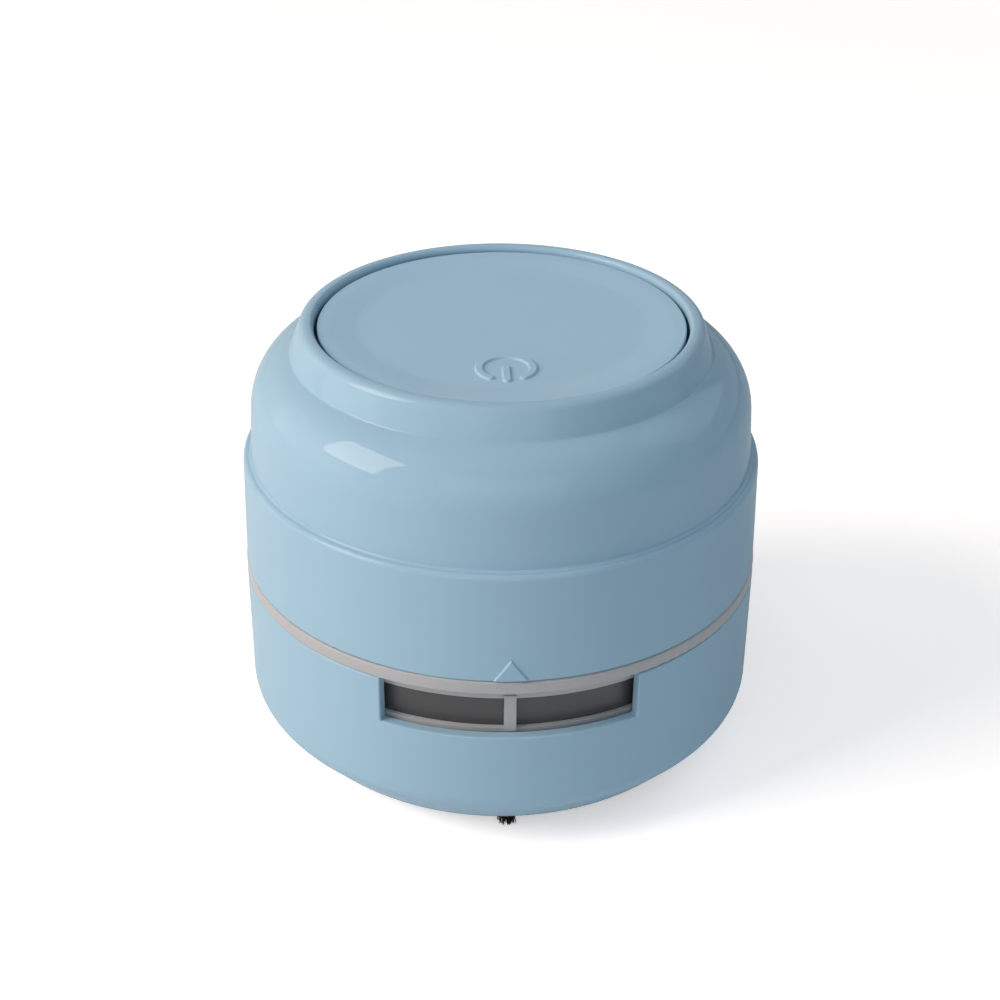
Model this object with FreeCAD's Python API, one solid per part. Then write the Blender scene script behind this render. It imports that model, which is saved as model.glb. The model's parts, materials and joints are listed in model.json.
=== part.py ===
import FreeCAD, Part
import math
import os
from FreeCAD import Vector

# Desktop mini vacuum cleaner, in millimetres.
# +Z is up and z = 0 is the desk. The front, with the power symbol and the
# locking mark, faces -Y. The origin is on the axis of the round body.

# ---------------------------------------------------------------- outside form
base_gap = 2.5                # desk to the underside of the dust cup's floor
cup_height = 29.0             # dust cup, floor underside to its upper edge
cup_radius = 43.0
cup_draft = 0.1               # the wall draws in a little towards its edge
bevel_height = 7.3            # slanted lower edge of the cup
bevel_width = 6.4
bevel_top_round = 4.0
bevel_foot_round = 4.0
ring_height = 2.3             # grey ring between cup and skirt
ring_step = 0.05              # ring inside the cup's edge
skirt_height = 18.3           # blue skirt above the ring
skirt_step = 0.1              # skirt inside the ring
skirt_draft = 0.55
skirt_top_round = 1.0
dome_step = 1.2               # dome cover inside the skirt's top edge
dome_draft = 1.05             # the dome's side draws in up to its shoulder
dome_shoulder_height = 14.9   # above the skirt, where side and shoulder would meet
shoulder_bend = 0.96          # share of the shoulder that its round takes up
shoulder_width = 6.15         # from the side in to the foot of the raised rim
flank_foot_height = 17.2      # above the skirt
flank_foot_round = 0.4
rim_height = 4.9              # raised rim, from its foot to its crest
rim_lean = 1.9
rim_width = 1.8
rim_crest_round = 1.5
rim_inner_round = 0.4
edge_round = 0.35             # small rounds on moulded edges
fuse = 0.5                    # how far joined shapes run into each other
past = 1.0                    # how far cutting shapes run past a face

# ---------------------------------------------------------------- dust cup
cup_wall = 1.45
cup_floor = 1.6
bevel_wall = 1.6
window_half_angle = 27.5      # exhaust windows, notched into the cup's edge
window_height = 8.0
window_edge_round = 0.3
window_angles = (270.0, 90.0)
nozzle_hole_radius = 10.6
nozzle_flange_radius = 13.0
nozzle_flange = 0.8           # thickness below the floor
nozzle_mouth_radius = 9.6
nozzle_top_radius = 8.0       # bore at the top of the intake chimney
nozzle_wall = 1.3
nozzle_height = 9.0           # chimney above the cup's floor

tuft_count = 8
brush_inset = 3.2             # tufts inside the edge of the floor
tuft_radius = 1.4
tuft_flare = 0.15
tuft_boss_radius = 2.6
tuft_boss_height = 1.4
tuft_socket = 2.2             # depth of a tuft's hole
foot_count = 4
foot_radius = 2.2
foot_inset = 7.0              # glide feet inside the edge of the floor
foot_socket = 0.5
foot_bevel = 0.4

# ---------------------------------------------------------------- bayonet lock
lug_count = 3
lug_half_angle = 9.0
lug_height = 1.6
lug_clearance = 0.2           # under the cup's ledges
lug_wall_clearance = 0.4
ledge_half_angle = 12.0
ledge_height = 1.4
ledge_drop = 2.15             # window sill down to the top of the ledges
bayonet_width = 1.85          # space for lugs and ledges, cup wall to frame
stop_gap_angle = 0.6

# ---------------------------------------------------------------- filter frame
post_count = 6
post_width = 1.85
post_seat = 0.6               # posts run into the bands above and below
post_clearance = 0.25         # posts to the inside of the cup's wall
band_recess = 0.3             # bands lie behind the posts
sill_band = 0.55              # lower band seen above the window's sill
ring_band = 2.0               # upper band under the ring
screen_recess = 0.6           # screen behind the bands
screen_thickness = 0.3
screen_seat = 0.85            # screen below the edge of its opening
band_thickness = 1.0          # lower band under the screen
frame_wall = 1.3
frame_below_lugs = 1.65       # frame's foot under its lugs
ring_width = 5.25             # flange of the ring, outer edge to bore
frame_bore_clearance = 0.6    # ring's bore round the chassis keys
shelf_height = 1.5
shelf_width = 4.4
spoke_count = 6
spoke_width = 1.5
spoke_hub_radius = 4.0
spoke_start = 30.0            # angle of the first spoke
filter_thickness = 0.8
filter_gap = 0.2              # round the filter in its frame
retainer_height = 1.4
retainer_width = 4.2
seal_width = 1.0
seal_inset = 1.3              # seal outside the ring's bore
seal_groove = 0.9
seal_gap = 0.05

# ---------------------------------------------------------------- chassis
chassis_gap = 0.3             # chassis flange above the grey ring
chassis_flange = 2.2
chassis_flange_gap = 0.2      # flange inside the skirt
key_reach = 2.1               # drive keys beyond the chassis plug
key_gap = 0.6                 # between a key and the plug
key_margin = 0.8              # between a key and the seal
chassis_wall = 1.6
chassis_floor = 1.6
chassis_drop = 3.2            # chassis floor below its flange
motor_cup_wall = 1.4
motor_cup_height = 15.2
key_count = 3
key_width = 4.4
key_clearance = 0.3
key_depth = 2.8
pillar_radius = 2.4
pillar_circle = 16.5
pillar_angles = (90.0, 210.0, 330.0)
vane_count = 11
vane_edge_gap = 0.5           # vanes inside the edge of the plug
vane_fan_gap = 1.0            # vanes outside the impeller
vane_thickness = 1.2
vane_lean = 38.0              # degrees between a vane and the radius
shroud_thickness = 1.2
eye_radius = 12.5
eye_lip = 1.3
eye_flare = 0.5               # the eye widens towards the fan
shroud_drop = 1.8             # inner face of the shroud under the exhaust opening

# ---------------------------------------------------------------- shells
skirt_wall = 2.0
skirt_shelf = 1.5             # height of the inner shelf that carries the dome
skirt_shelf_width = 1.2
skirt_rib_height = 1.2        # inner rib that stands on the chassis flange
skirt_rib_overlap = 0.85
skirt_relief = 0.4            # skirt thicker between its shelf and its rib
spigot_height = 2.2           # dome cover inside the skirt
spigot_gap = 0.05
dome_wall = 1.9
well_floor = 1.4
well_depth = 6.8              # rim crest to the well's floor
switch_hole_radius = 7.5
boss_radius = 2.6             # screw bosses of the dome cover
boss_offset = 2.0             # bosses outside the chassis plug
boss_angles = (30.0, 150.0, 270.0)
boss_rise = 8.0               # boss above the skirt's top edge
mark_width = 5.2              # locking mark, a raised triangle
mark_height = 3.9
mark_relief = 0.3
mark_slope = 0.9              # its sides draw in by this share of its relief

# ---------------------------------------------------------------- press plate
plate_gap = 0.8               # round the plate in its well
plate_drop = 1.0              # plate below the rim's crest
plate_thickness = 1.6
plate_skirt = 3.4
plate_skirt_wall = 1.2
plate_edge_round = 0.5
plate_travel = 1.5
dish_margin = 5.9             # shallow dish inside the plate's edge
dish_depth = 0.2
dish_slope = 1.2              # width of the dish's sloping edge
dish_round = 2.5
symbol_margin = 1.9           # power symbol inside the dish, at the front
symbol_radius = 4.85
symbol_stroke = 1.5
symbol_relief = 0.35
symbol_gap_angle = 38.0       # half the opening of the ring
symbol_slope = 0.8            # its sides draw in by this share of its relief
bar_length = 5.8
hook_inset = 4.3              # hooks inside the plate's edge
hook_width = 4.0
hook_thickness = 1.4
hook_nose = 1.2
hook_nose_height = 1.3
hook_play = 0.1
hook_slot_clearance = 0.4
hook_angles = (90.0, 210.0, 330.0)
spring_inset = 7.0            # springs inside the hooks
spring_angles = (30.0, 150.0, 270.0)
spring_radius = 2.2
spring_wire = 0.5
spring_turns = 3.0
push_boss_radius = 3.0
push_boss_height = 1.2

# ---------------------------------------------------------------- motor and fan
motor_radius = 10.0
motor_wall = 0.9
motor_face = 1.0
motor_boss_radius = 3.7
motor_boss = 1.3
motor_boss_gap = 0.2
bearing_radius = 2.9
bearing_length = 2.4
shaft_radius = 1.0
shaft_clearance = 0.04
shaft_below = 9.0             # shaft below the motor's face
shaft_above = 0.4             # shaft above the end cap's boss
cap_height = 2.5
cap_boss_height = 1.0
cap_boss_radius = 4.1
magnet_thickness = 1.6
magnet_margin = 8.0           # motor can longer than its magnets
magnet_half_angle = 62.0
magnet_start = 5.2            # above the motor's face
air_gap = 0.4
armature_margin = 2.0         # magnets longer than the armature
armature_slots = 3
slot_start = 30.0             # angle of the first slot
slot_width = 1.6
slot_depth = 3.4
commutator_radius = 2.3
commutator_length = 3.0
commutator_gap = 1.2
terminal_width = 2.2
terminal_thickness = 0.4
terminal_height = 2.4
terminal_root = 3.0           # depth of the slots that hold the terminals
terminal_offset = 6.4
damper_height = 6.0
damper_width = 2.05
motor_screw_offset = 6.6
motor_screw_radius = 0.95
motor_screw_head = 1.8
motor_screw_head_height = 1.0
motor_screw_length = 3.4

vane_length = 5.2             # diffuser vanes, between impeller and plug edge
impeller_plate = 1.0
impeller_gap = 0.8            # to the chassis floor and to the shroud
impeller_hub_radius = 4.2
hub_nose_round = 1.05
hub_flare = 2.0               # the hub widens where it meets the plate
hub_below_plate = 6.2
blade_count = 9
blade_inner_radius = 13.0
blade_thickness = 1.0
blade_sweep = 40.0            # degrees a blade falls back towards its tip
blade_tip_height = 4.6
blade_root_slope = 3.5        # the blade's inner edge slopes in towards the plate

# ---------------------------------------------------------------- electrics
cell_radius = 7.0
cell_wall_gap = 1.41          # cell's corners to the skirt's inner rib
cell_gap = 1.55               # cell to the motor's cup
cell_lift = 0.6               # cell above the chassis flange
cell_button_radius = 2.6
cell_button = 0.8
saddle_offset = 14.0
saddle_thickness = 2.0
saddle_wall = 0.9
saddle_hold = 2.6             # saddles reach past the cell's middle
tab_width = 5.0
tab_thickness = 0.25
tab_height = 7.0
board_radius = 20.0
board_thickness = 1.2
board_gap = 1.8               # above the motor's cap and its boss
board_drop = 4.9              # board below the floor of the dome's well
switch_side = 8.4
switch_height = 5.5
plunger_radius = 1.6
plunger_clearance = 0.1
plunger_depth = 3.3
plunger_bottom_gap = 0.3      # left under the plunger when it is pressed
board_screw_radius = 0.9
board_screw_head = 1.9
board_screw_head_height = 1.2
board_screw_length = 7.0
screw_hole_gap = 0.2
usb_width = 8.9
usb_height = 3.2
usb_depth = 7.3
usb_wall = 0.35
usb_tongue = 0.7
usb_tongue_width = 6.2
usb_tongue_inset = 1.2
usb_shell_round = 1.44
usb_bore_round = 0.96
usb_rise = 5.4                # middle of the socket above the chassis flange
usb_recess = 1.0              # socket's mouth behind the skirt's face
usb_slot_gap = 0.25
charge_board_width = 14.0
charge_board_depth = 10.0
charge_board_setback = 2.2    # board's outer edge behind the socket's mouth
charge_post_radius = 1.8
charge_post_offset = 4.5
charge_post_edge = 0.2        # from a post to the edge of the board
housing_screw_radius = 1.2
housing_screw_head = 1.9
housing_screw_head_height = 1.2
housing_screw_length = 11.5
counterbore = 1.3

# ---------------------------------------------------------------- radii
cup_rim_radius = cup_radius - cup_draft
ring_radius = cup_rim_radius - ring_step
skirt_foot_radius = ring_radius - skirt_step
skirt_top_radius = skirt_foot_radius - skirt_draft
dome_foot_radius = skirt_top_radius - dome_step
dome_shoulder_radius = dome_foot_radius - dome_draft
flank_foot_radius = dome_shoulder_radius - shoulder_width
rim_outer_radius = flank_foot_radius - rim_lean
well_radius = rim_outer_radius - rim_width

cup_bore = cup_rim_radius - cup_wall
brush_circle = cup_radius - bevel_width - brush_inset
foot_circle = cup_radius - bevel_width - foot_inset
post_radius = cup_bore - post_clearance
band_radius = post_radius - band_recess
screen_radius = band_radius - screen_recess
frame_skirt_radius = cup_bore - bayonet_width
frame_bore = frame_skirt_radius - frame_wall
shelf_radius = frame_bore - shelf_width
plug_bore = ring_radius - ring_width
seal_radius = plug_bore + seal_inset

chassis_plug_radius = plug_bore - frame_bore_clearance - key_reach
flange_radius = skirt_foot_radius - skirt_wall - chassis_flange_gap
vane_outer_radius = chassis_plug_radius - vane_edge_gap
vane_inner_radius = vane_outer_radius - vane_length
impeller_radius = vane_inner_radius - vane_fan_gap
boss_circle = chassis_plug_radius + boss_offset
skirt_bore = skirt_foot_radius - skirt_wall
skirt_shelf_radius = dome_foot_radius - skirt_shelf_width
skirt_rib_radius = flange_radius - skirt_rib_overlap

plate_radius = well_radius - plate_gap
dish_radius = plate_radius - dish_margin
symbol_offset = dish_radius - symbol_radius - symbol_margin
hook_circle = plate_radius - hook_inset
spring_circle = hook_circle - spring_inset
cell_offset = motor_radius + damper_width + motor_cup_wall + cell_gap + cell_radius

# ---------------------------------------------------------------- levels
floor_level = base_gap + cup_floor
rim_level = base_gap + cup_height
ring_top = rim_level + ring_height
skirt_top = ring_top + skirt_height
shoulder_level = skirt_top + dome_shoulder_height
flank_foot = skirt_top + flank_foot_height
crest_level = flank_foot + rim_height

sill_level = rim_level - window_height
ledge_top = sill_level - ledge_drop
lug_top = ledge_top - ledge_height - lug_clearance
frame_foot = lug_top - lug_height - frame_below_lugs
shelf_top = frame_foot + shelf_height
filter_top = shelf_top + filter_thickness
opening_low = sill_level + sill_band
opening_high = rim_level - ring_band
screen_foot = opening_low - screen_seat
band_foot = screen_foot - band_thickness

flange_foot = ring_top + chassis_gap
flange_top = flange_foot + chassis_flange
well_bottom = flange_foot - chassis_drop
motor_face_level = well_bottom + chassis_floor
impeller_top = well_bottom - impeller_gap
impeller_back = impeller_top - impeller_plate
shroud_top = opening_low - shroud_drop
blade_foot = shroud_top + impeller_gap

well_level = crest_level - well_depth
well_under = well_level - well_floor
board_level = well_under - board_drop
board_top = board_level + board_thickness
boss_top = board_level - board_gap
cap_top = boss_top - cap_boss_height
motor_top = cap_top - cap_height
motor_length = motor_top - motor_face_level
magnet_length = motor_length - magnet_margin
armature_length = magnet_length - armature_margin
plate_top = crest_level - plate_drop
plate_under = plate_top - plate_thickness
plunger_top = plate_under - push_boss_height
switch_top = board_top + switch_height
screw_seat = flange_foot + counterbore
screw_tip = screw_seat + housing_screw_length
bearing_foot = motor_face_level - motor_boss
bearing_top = bearing_foot + bearing_length
cell_level = flange_top + cell_lift + cell_radius
usb_level = flange_top + usb_rise
charge_board_foot = usb_level - usb_height / 2 - board_thickness

# The cell is as long as fits across the skirt behind its front face.
cell_reach = skirt_rib_radius - cell_wall_gap
cell_length = 2 * math.sqrt(cell_reach ** 2 - (cell_offset + cell_radius) ** 2)

# The shoulder's round takes up the given share of its slope.
shoulder_rise = flank_foot_height - dome_shoulder_height
shoulder_length = math.hypot(shoulder_width, shoulder_rise)
shoulder_lean = math.atan(shoulder_rise / shoulder_width)
side_lean = math.atan(dome_draft / dome_shoulder_height)
shoulder_half_angle = (math.radians(90) + shoulder_lean + side_lean) / 2
shoulder_round = shoulder_bend * shoulder_length * math.tan(shoulder_half_angle)

UP = Vector(0, 0, 1)


# ---------------------------------------------------------------- shape helpers
def corner_arc(before, corner, after, radius):
    # Start, middle and end of the arc that rounds one corner of an outline.
    to_before = (before - corner).normalize()
    to_after = (after - corner).normalize()
    half = to_before.getAngle(to_after) / 2
    reach = radius / math.tan(half)
    bisector = (to_before + to_after).normalize()
    middle = corner + bisector * (radius / math.sin(half) - radius)
    return corner + to_before * reach, middle, corner + to_after * reach


def outline(corners):
    # A closed outline in the XZ plane. A corner is (x, z) or (x, z, round).
    points = [Vector(corner[0], 0, corner[1]) for corner in corners]
    spans = []
    for index, corner in enumerate(corners):
        if len(corner) == 2:
            spans.append((points[index], None, points[index]))
            continue
        after = points[(index + 1) % len(points)]
        spans.append(corner_arc(points[index - 1], points[index], after, corner[2]))
    edges = []
    for index, (start, middle, end) in enumerate(spans):
        if middle is not None:
            edges.append(Part.Arc(start, middle, end).toShape())
        following = spans[(index + 1) % len(spans)][0]
        if end.distanceToPoint(following) > 1e-6:
            edges.append(Part.LineSegment(end, following).toShape())
    return Part.Wire(edges)


def turned(corners):
    # The solid that an outline sweeps round the Z axis.
    return Part.Face(outline(corners)).revolve(Vector(), UP, 360).Solids[0]


def ring(inner, outer, low, high):
    return turned([(inner, low), (outer, low), (outer, high), (inner, high)])


def disc(radius, low, high, x=0.0, y=0.0):
    return Part.makeCylinder(radius, high - low, Vector(x, y, low))


def block(x_size, y_size, low, high, x=0.0, y=0.0):
    # A box centred on (x, y).
    return Part.makeBox(x_size, y_size, high - low, Vector(x - x_size / 2, y - y_size / 2, low))


def on_circle(radius, angle):
    return radius * math.cos(math.radians(angle)), radius * math.sin(math.radians(angle))


def turn(shape, angle):
    copy = shape.copy()
    copy.rotate(Vector(), UP, angle)
    return copy


def evenly(count, start=0.0):
    return [start + 360.0 * index / count for index in range(count)]


def sector(inner, outer, low, high, middle, half_angle):
    # Part of a ring, from middle - half_angle to middle + half_angle.
    section = [(inner, low), (outer, low), (outer, high), (inner, high)]
    swept = Part.Face(outline(section)).revolve(Vector(), UP, 2 * half_angle).Solids[0]
    return turn(swept, middle - half_angle)


def joined(shapes):
    return shapes[0].multiFuse(shapes[1:]).removeSplitter()


def without(shape, tools):
    return shape.cut(tools)


def group(shapes):
    return Part.makeCompound(shapes)


def arc_strip(inner_radius, outer_radius, lean, thickness, low, high):
    # A curved blade: it starts on the radius at inner_radius, and its tip lies
    # lean degrees behind. Both faces are arcs about one centre.
    start = Vector(inner_radius, 0, low)
    tip = Vector(*on_circle(outer_radius, -lean), low)
    along = (tip - start).normalize()
    side = Vector(-along.y, along.x, 0)
    bow = side * ((tip - start).Length * 0.13)
    middle = (start + tip) * 0.5 + bow
    shift = side * thickness
    faces = [Part.Arc(start, middle, tip).toShape(), Part.LineSegment(tip, tip + shift).toShape()]
    faces.append(Part.Arc(tip + shift, middle + shift, start + shift).toShape())
    faces.append(Part.LineSegment(start + shift, start).toShape())
    return Part.Face(Part.Wire(faces)).extrude(Vector(0, 0, high - low))


# ---------------------------------------------------------------- dust cup
def dust_cup():
    slope = bevel_width / bevel_height
    lean = math.atan(slope)
    inner_foot = cup_radius - bevel_width - bevel_wall / math.cos(lean) + cup_floor * slope
    inner_bend = floor_level + (cup_bore - inner_foot) / slope
    shell = turned([
        (0, base_gap),
        (cup_radius - bevel_width, base_gap, bevel_foot_round),
        (cup_radius, base_gap + bevel_height, bevel_top_round),
        (cup_rim_radius, rim_level, edge_round),
        (cup_bore, rim_level),
        (cup_bore, inner_bend, bevel_top_round - bevel_wall),
        (inner_foot, floor_level, bevel_foot_round - bevel_wall),
        (0, floor_level)])
    additions = [shell]
    for angle in evenly(tuft_count, 270.0):
        x, y = on_circle(brush_circle, angle)
        additions.append(disc(tuft_boss_radius, base_gap + cup_floor / 2,
                              floor_level + tuft_boss_height, x, y))
    for angle in evenly(lug_count, 90.0):
        additions += bayonet_ledge(angle)
    cuts = [disc(nozzle_hole_radius, 0, floor_level + past)]
    for angle in window_angles:
        cuts.append(sector(cup_bore - past, cup_radius + past, sill_level, rim_level + past,
                           angle, window_half_angle))
    for angle in evenly(tuft_count, 270.0):
        cuts.append(disc(tuft_radius, base_gap - past, base_gap + tuft_socket,
                         *on_circle(brush_circle, angle)))
    for angle in foot_angles():
        cuts.append(disc(foot_radius, base_gap - past, base_gap + foot_socket,
                         *on_circle(foot_circle, angle)))
    return with_window_rounds(without(joined(additions), cuts))


def with_window_rounds(cup):
    # Rounds the outer edges of the windows: their sides and sills.
    middle = (sill_level + rim_level) / 2
    edges = []
    for edge in cup.Edges:
        box = edge.BoundBox
        point = edge.valueAt((edge.FirstParameter + edge.LastParameter) / 2)
        outside = math.hypot(point.x, point.y) > cup_bore + cup_wall / 2
        side = box.ZMin < middle < box.ZMax and box.ZLength < window_height
        sill = box.ZLength < fuse and abs(point.z - sill_level) < fuse
        if outside and (side or sill):
            edges.append(edge)
    return cup.makeFillet(window_edge_round, edges)


def bayonet_ledge(angle):
    # The ledge over a lug, and the stop at its closed end.
    inner = frame_skirt_radius + lug_wall_clearance
    outer = cup_bore + cup_wall / 2
    ledge = sector(inner, outer, ledge_top - ledge_height, ledge_top, angle, ledge_half_angle)
    stop_half = (ledge_half_angle - lug_half_angle - stop_gap_angle) / 2
    stop = sector(inner, outer, lug_top - lug_height, ledge_top - ledge_height / 2,
                  angle - ledge_half_angle + stop_half, stop_half)
    return [ledge, stop]


def foot_angles():
    return evenly(foot_count, 270.0 + 180.0 / tuft_count)


def intake_nozzle():
    top = floor_level + nozzle_height
    return turned([
        (nozzle_mouth_radius, base_gap - nozzle_flange),
        (nozzle_flange_radius, base_gap - nozzle_flange, edge_round),
        (nozzle_flange_radius, base_gap),
        (nozzle_hole_radius, base_gap),
        (nozzle_hole_radius, floor_level),
        (nozzle_top_radius + nozzle_wall, top),
        (nozzle_top_radius, top)])


def brush_tufts():
    tufts = []
    for angle in evenly(tuft_count, 270.0):
        x, y = on_circle(brush_circle, angle)
        root = disc(tuft_radius, base_gap, base_gap + tuft_socket, x, y)
        flare = Part.makeCone(tuft_radius + tuft_flare, tuft_radius, base_gap, Vector(x, y, 0))
        tufts.append(joined([flare, root]))
    return group(tufts)


def glide_feet():
    foot = turned([
        (0, 0),
        (foot_radius - foot_bevel, 0),
        (foot_radius, foot_bevel),
        (foot_radius, base_gap + foot_socket),
        (0, base_gap + foot_socket)])
    feet = []
    for angle in foot_angles():
        copy = foot.copy()
        copy.translate(Vector(*on_circle(foot_circle, angle), 0))
        feet.append(copy)
    return group(feet)


# ---------------------------------------------------------------- filter frame
def filter_frame():
    wall = turned([
        (plug_bore, ring_top),
        (plug_bore, rim_level),
        (screen_radius, rim_level),
        (screen_radius, screen_foot),
        (frame_bore, screen_foot),
        (frame_bore, shelf_top),
        (shelf_radius, shelf_top),
        (shelf_radius, frame_foot),
        (frame_skirt_radius, frame_foot),
        (frame_skirt_radius, band_foot),
        (band_radius, band_foot),
        (band_radius, rim_level),
        (ring_radius, rim_level, edge_round),
        (ring_radius, ring_top, edge_round)])
    opening = ring(screen_radius - past, band_radius + past, opening_low, opening_high)
    seat = ring(seal_radius - seal_gap, seal_radius + seal_width + seal_gap,
                ring_top - seal_groove, ring_top + past)
    notches = [key_block(angle, key_clearance) for angle in key_angles()]
    frame = without(wall, [opening, seat] + notches)
    additions = [frame] + filter_spokes()
    for angle in evenly(post_count, 270.0):
        additions.append(screen_post(angle))
    for angle in evenly(lug_count, 90.0):
        additions.append(sector(frame_bore + frame_wall / 2, cup_bore - lug_wall_clearance,
                                lug_top - lug_height, lug_top, angle, lug_half_angle))
    return joined(additions)


def filter_spokes():
    hub = disc(spoke_hub_radius, frame_foot, shelf_top)
    spokes = []
    for angle in evenly(spoke_count, spoke_start):
        spoke = Part.makeBox(shelf_radius + fuse, spoke_width, shelf_height,
                             Vector(0, -spoke_width / 2, frame_foot))
        spokes.append(turn(spoke, angle))
    return [hub] + spokes


def screen_post(angle):
    # A post across the exhaust opening, curved like the frame on both faces.
    low = opening_low - post_seat
    high = opening_high + post_seat
    bar = Part.makeBox(post_radius, post_width, high - low, Vector(0, -post_width / 2, low))
    return turn(bar.common(ring(screen_radius, post_radius, low, high)), angle)


def key_angles():
    return evenly(key_count, 90.0)


def key_block(angle, clearance):
    # A drive key of the chassis, or the notch for it when a clearance is given.
    inner = chassis_plug_radius + key_gap
    outer = seal_radius - key_margin + clearance
    low = flange_foot - key_depth - clearance * 2
    height = key_depth + clearance * 2
    width = key_width + clearance * 2
    return turn(Part.makeBox(outer - inner, width, height, Vector(inner, -width / 2, low)), angle)


def exhaust_screen():
    return ring(screen_radius - screen_thickness, screen_radius, screen_foot, rim_level)


def filter_mesh():
    return disc(frame_bore - filter_gap, shelf_top, filter_top)


def filter_retainer():
    outer = frame_bore - filter_gap
    return turned([
        (outer - retainer_width, filter_top),
        (outer, filter_top),
        (outer, filter_top + retainer_height),
        (outer - retainer_width, filter_top + retainer_height)])


def seal_ring():
    return turned([
        (seal_radius, ring_top - seal_groove),
        (seal_radius + seal_width, ring_top - seal_groove),
        (seal_radius + seal_width, flange_foot),
        (seal_radius, flange_foot)])


# ---------------------------------------------------------------- chassis
def chassis():
    tray = turned([
        (motor_boss_radius + motor_boss_gap, well_bottom),
        (chassis_plug_radius, well_bottom),
        (chassis_plug_radius, flange_foot),
        (flange_radius, flange_foot),
        (flange_radius, flange_top),
        (chassis_plug_radius - chassis_wall, flange_top),
        (chassis_plug_radius - chassis_wall, motor_face_level),
        (motor_boss_radius + motor_boss_gap, motor_face_level)])
    cup_inner = motor_radius + damper_width
    additions = [tray, ring(cup_inner, cup_inner + motor_cup_wall, motor_face_level - fuse,
                            motor_face_level + motor_cup_height)]
    for angle in pillar_angles:
        additions.append(disc(pillar_radius, motor_face_level - fuse, board_level,
                              *on_circle(pillar_circle, angle)))
    for side in (-1, 1):
        additions.append(cell_saddle(side * saddle_offset))
        additions.append(disc(charge_post_radius, motor_face_level - fuse, charge_board_foot,
                              side * charge_post_offset, charge_post_line()))
    for angle in key_angles():
        additions.append(key_block(angle, 0.0))
    return without(joined(additions), chassis_holes())


def cell_saddle(x):
    # A snap-in saddle under the cell, open at the top.
    width = 2 * (cell_radius + saddle_wall)
    body = block(saddle_thickness, width, motor_face_level - fuse,
                 cell_level + saddle_hold, x, -cell_offset)
    start = Vector(-cell_length / 2, -cell_offset, cell_level)
    return body.cut(Part.makeCylinder(cell_radius, cell_length, start, Vector(1, 0, 0)))


def chassis_holes():
    holes = []
    for angle in boss_angles:
        x, y = on_circle(boss_circle, angle)
        holes.append(disc(housing_screw_radius + screw_hole_gap, flange_foot - past,
                          flange_top + past, x, y))
        holes.append(disc(housing_screw_head + screw_hole_gap, flange_foot - past, screw_seat, x, y))
    for side in (-1, 1):
        x = side * motor_screw_offset
        holes.append(disc(motor_screw_radius + screw_hole_gap, well_bottom - past,
                          motor_face_level + past, x))
        holes.append(disc(motor_screw_head + screw_hole_gap, well_bottom - past,
                          well_bottom + motor_screw_head_height, x))
    for angle in pillar_angles:
        x, y = on_circle(pillar_circle, angle)
        holes.append(disc(board_screw_radius, board_top - board_screw_length, board_level + past, x, y))
    return holes


def inlet_shroud():
    # The fan's cover: a plate with the intake eye, and the diffuser vanes on it.
    foot = shroud_top - shroud_thickness
    plate = turned([
        (eye_radius, foot - eye_lip),
        (eye_radius + shroud_thickness, foot - eye_lip),
        (eye_radius + shroud_thickness * 1.6, foot),
        (vane_outer_radius, foot),
        (vane_outer_radius, shroud_top),
        (eye_radius + eye_flare, shroud_top, edge_round)])
    return joined([plate] + diffuser_vanes())


def diffuser_vanes():
    vane = arc_strip(vane_inner_radius, vane_outer_radius, vane_turn(),
                     vane_thickness, shroud_top - fuse, well_bottom)
    return [turn(vane, angle) for angle in evenly(vane_count)]


def vane_turn():
    # The angle about the axis that a vane's lean gives it.
    length = vane_outer_radius - vane_inner_radius
    return -math.degrees(length * math.tan(math.radians(vane_lean)) / vane_outer_radius)


# ---------------------------------------------------------------- shells
def skirt_shell():
    shelf_top_level = skirt_top - spigot_height
    shelf_foot = shelf_top_level - skirt_shelf
    shell = turned([
        (skirt_bore, ring_top),
        (skirt_foot_radius, ring_top, edge_round),
        (skirt_top_radius, skirt_top, skirt_top_round),
        (dome_foot_radius + spigot_gap, skirt_top),
        (dome_foot_radius + spigot_gap, shelf_top_level),
        (skirt_shelf_radius, shelf_top_level),
        (skirt_shelf_radius, shelf_foot),
        (skirt_bore - skirt_relief, shelf_foot - skirt_relief * 3),
        (skirt_bore - skirt_relief, flange_top + skirt_rib_height + skirt_relief * 3),
        (skirt_rib_radius, flange_top + skirt_rib_height),
        (skirt_rib_radius, flange_top),
        (skirt_bore, flange_top)])
    return joined([shell, locking_mark()]).cut(usb_slot())


def skirt_face(level):
    # The skirt's outer radius at a level.
    share = (level - ring_top) / skirt_height
    return skirt_foot_radius + (skirt_top_radius - skirt_foot_radius) * share


def locking_mark():
    # A raised triangle on the front, with its base on the skirt's lower edge.
    top = ring_top + mark_height
    inner = skirt_top_radius - fuse
    sections = [mark_section(past), mark_section(-past)]
    prism = Part.makeLoft(sections, True, True)
    relief = turned([
        (inner, ring_top),
        (skirt_foot_radius + mark_relief, ring_top),
        (skirt_face(top) + mark_relief, top),
        (inner, top)])
    return prism.common(relief)


def mark_section(outside):
    # The triangle at a distance outside the skirt's face. Its sides slope.
    share = 1 - 2 * outside * mark_slope / mark_width
    half = mark_width / 2 * share
    base = ring_top + edge_round
    tip = base + (mark_height - edge_round) * share
    y = -skirt_foot_radius - outside
    corners = [Vector(-half, y, base), Vector(half, y, base), Vector(0, y, tip)]
    return Part.makePolygon(corners + corners[:1])


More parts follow.
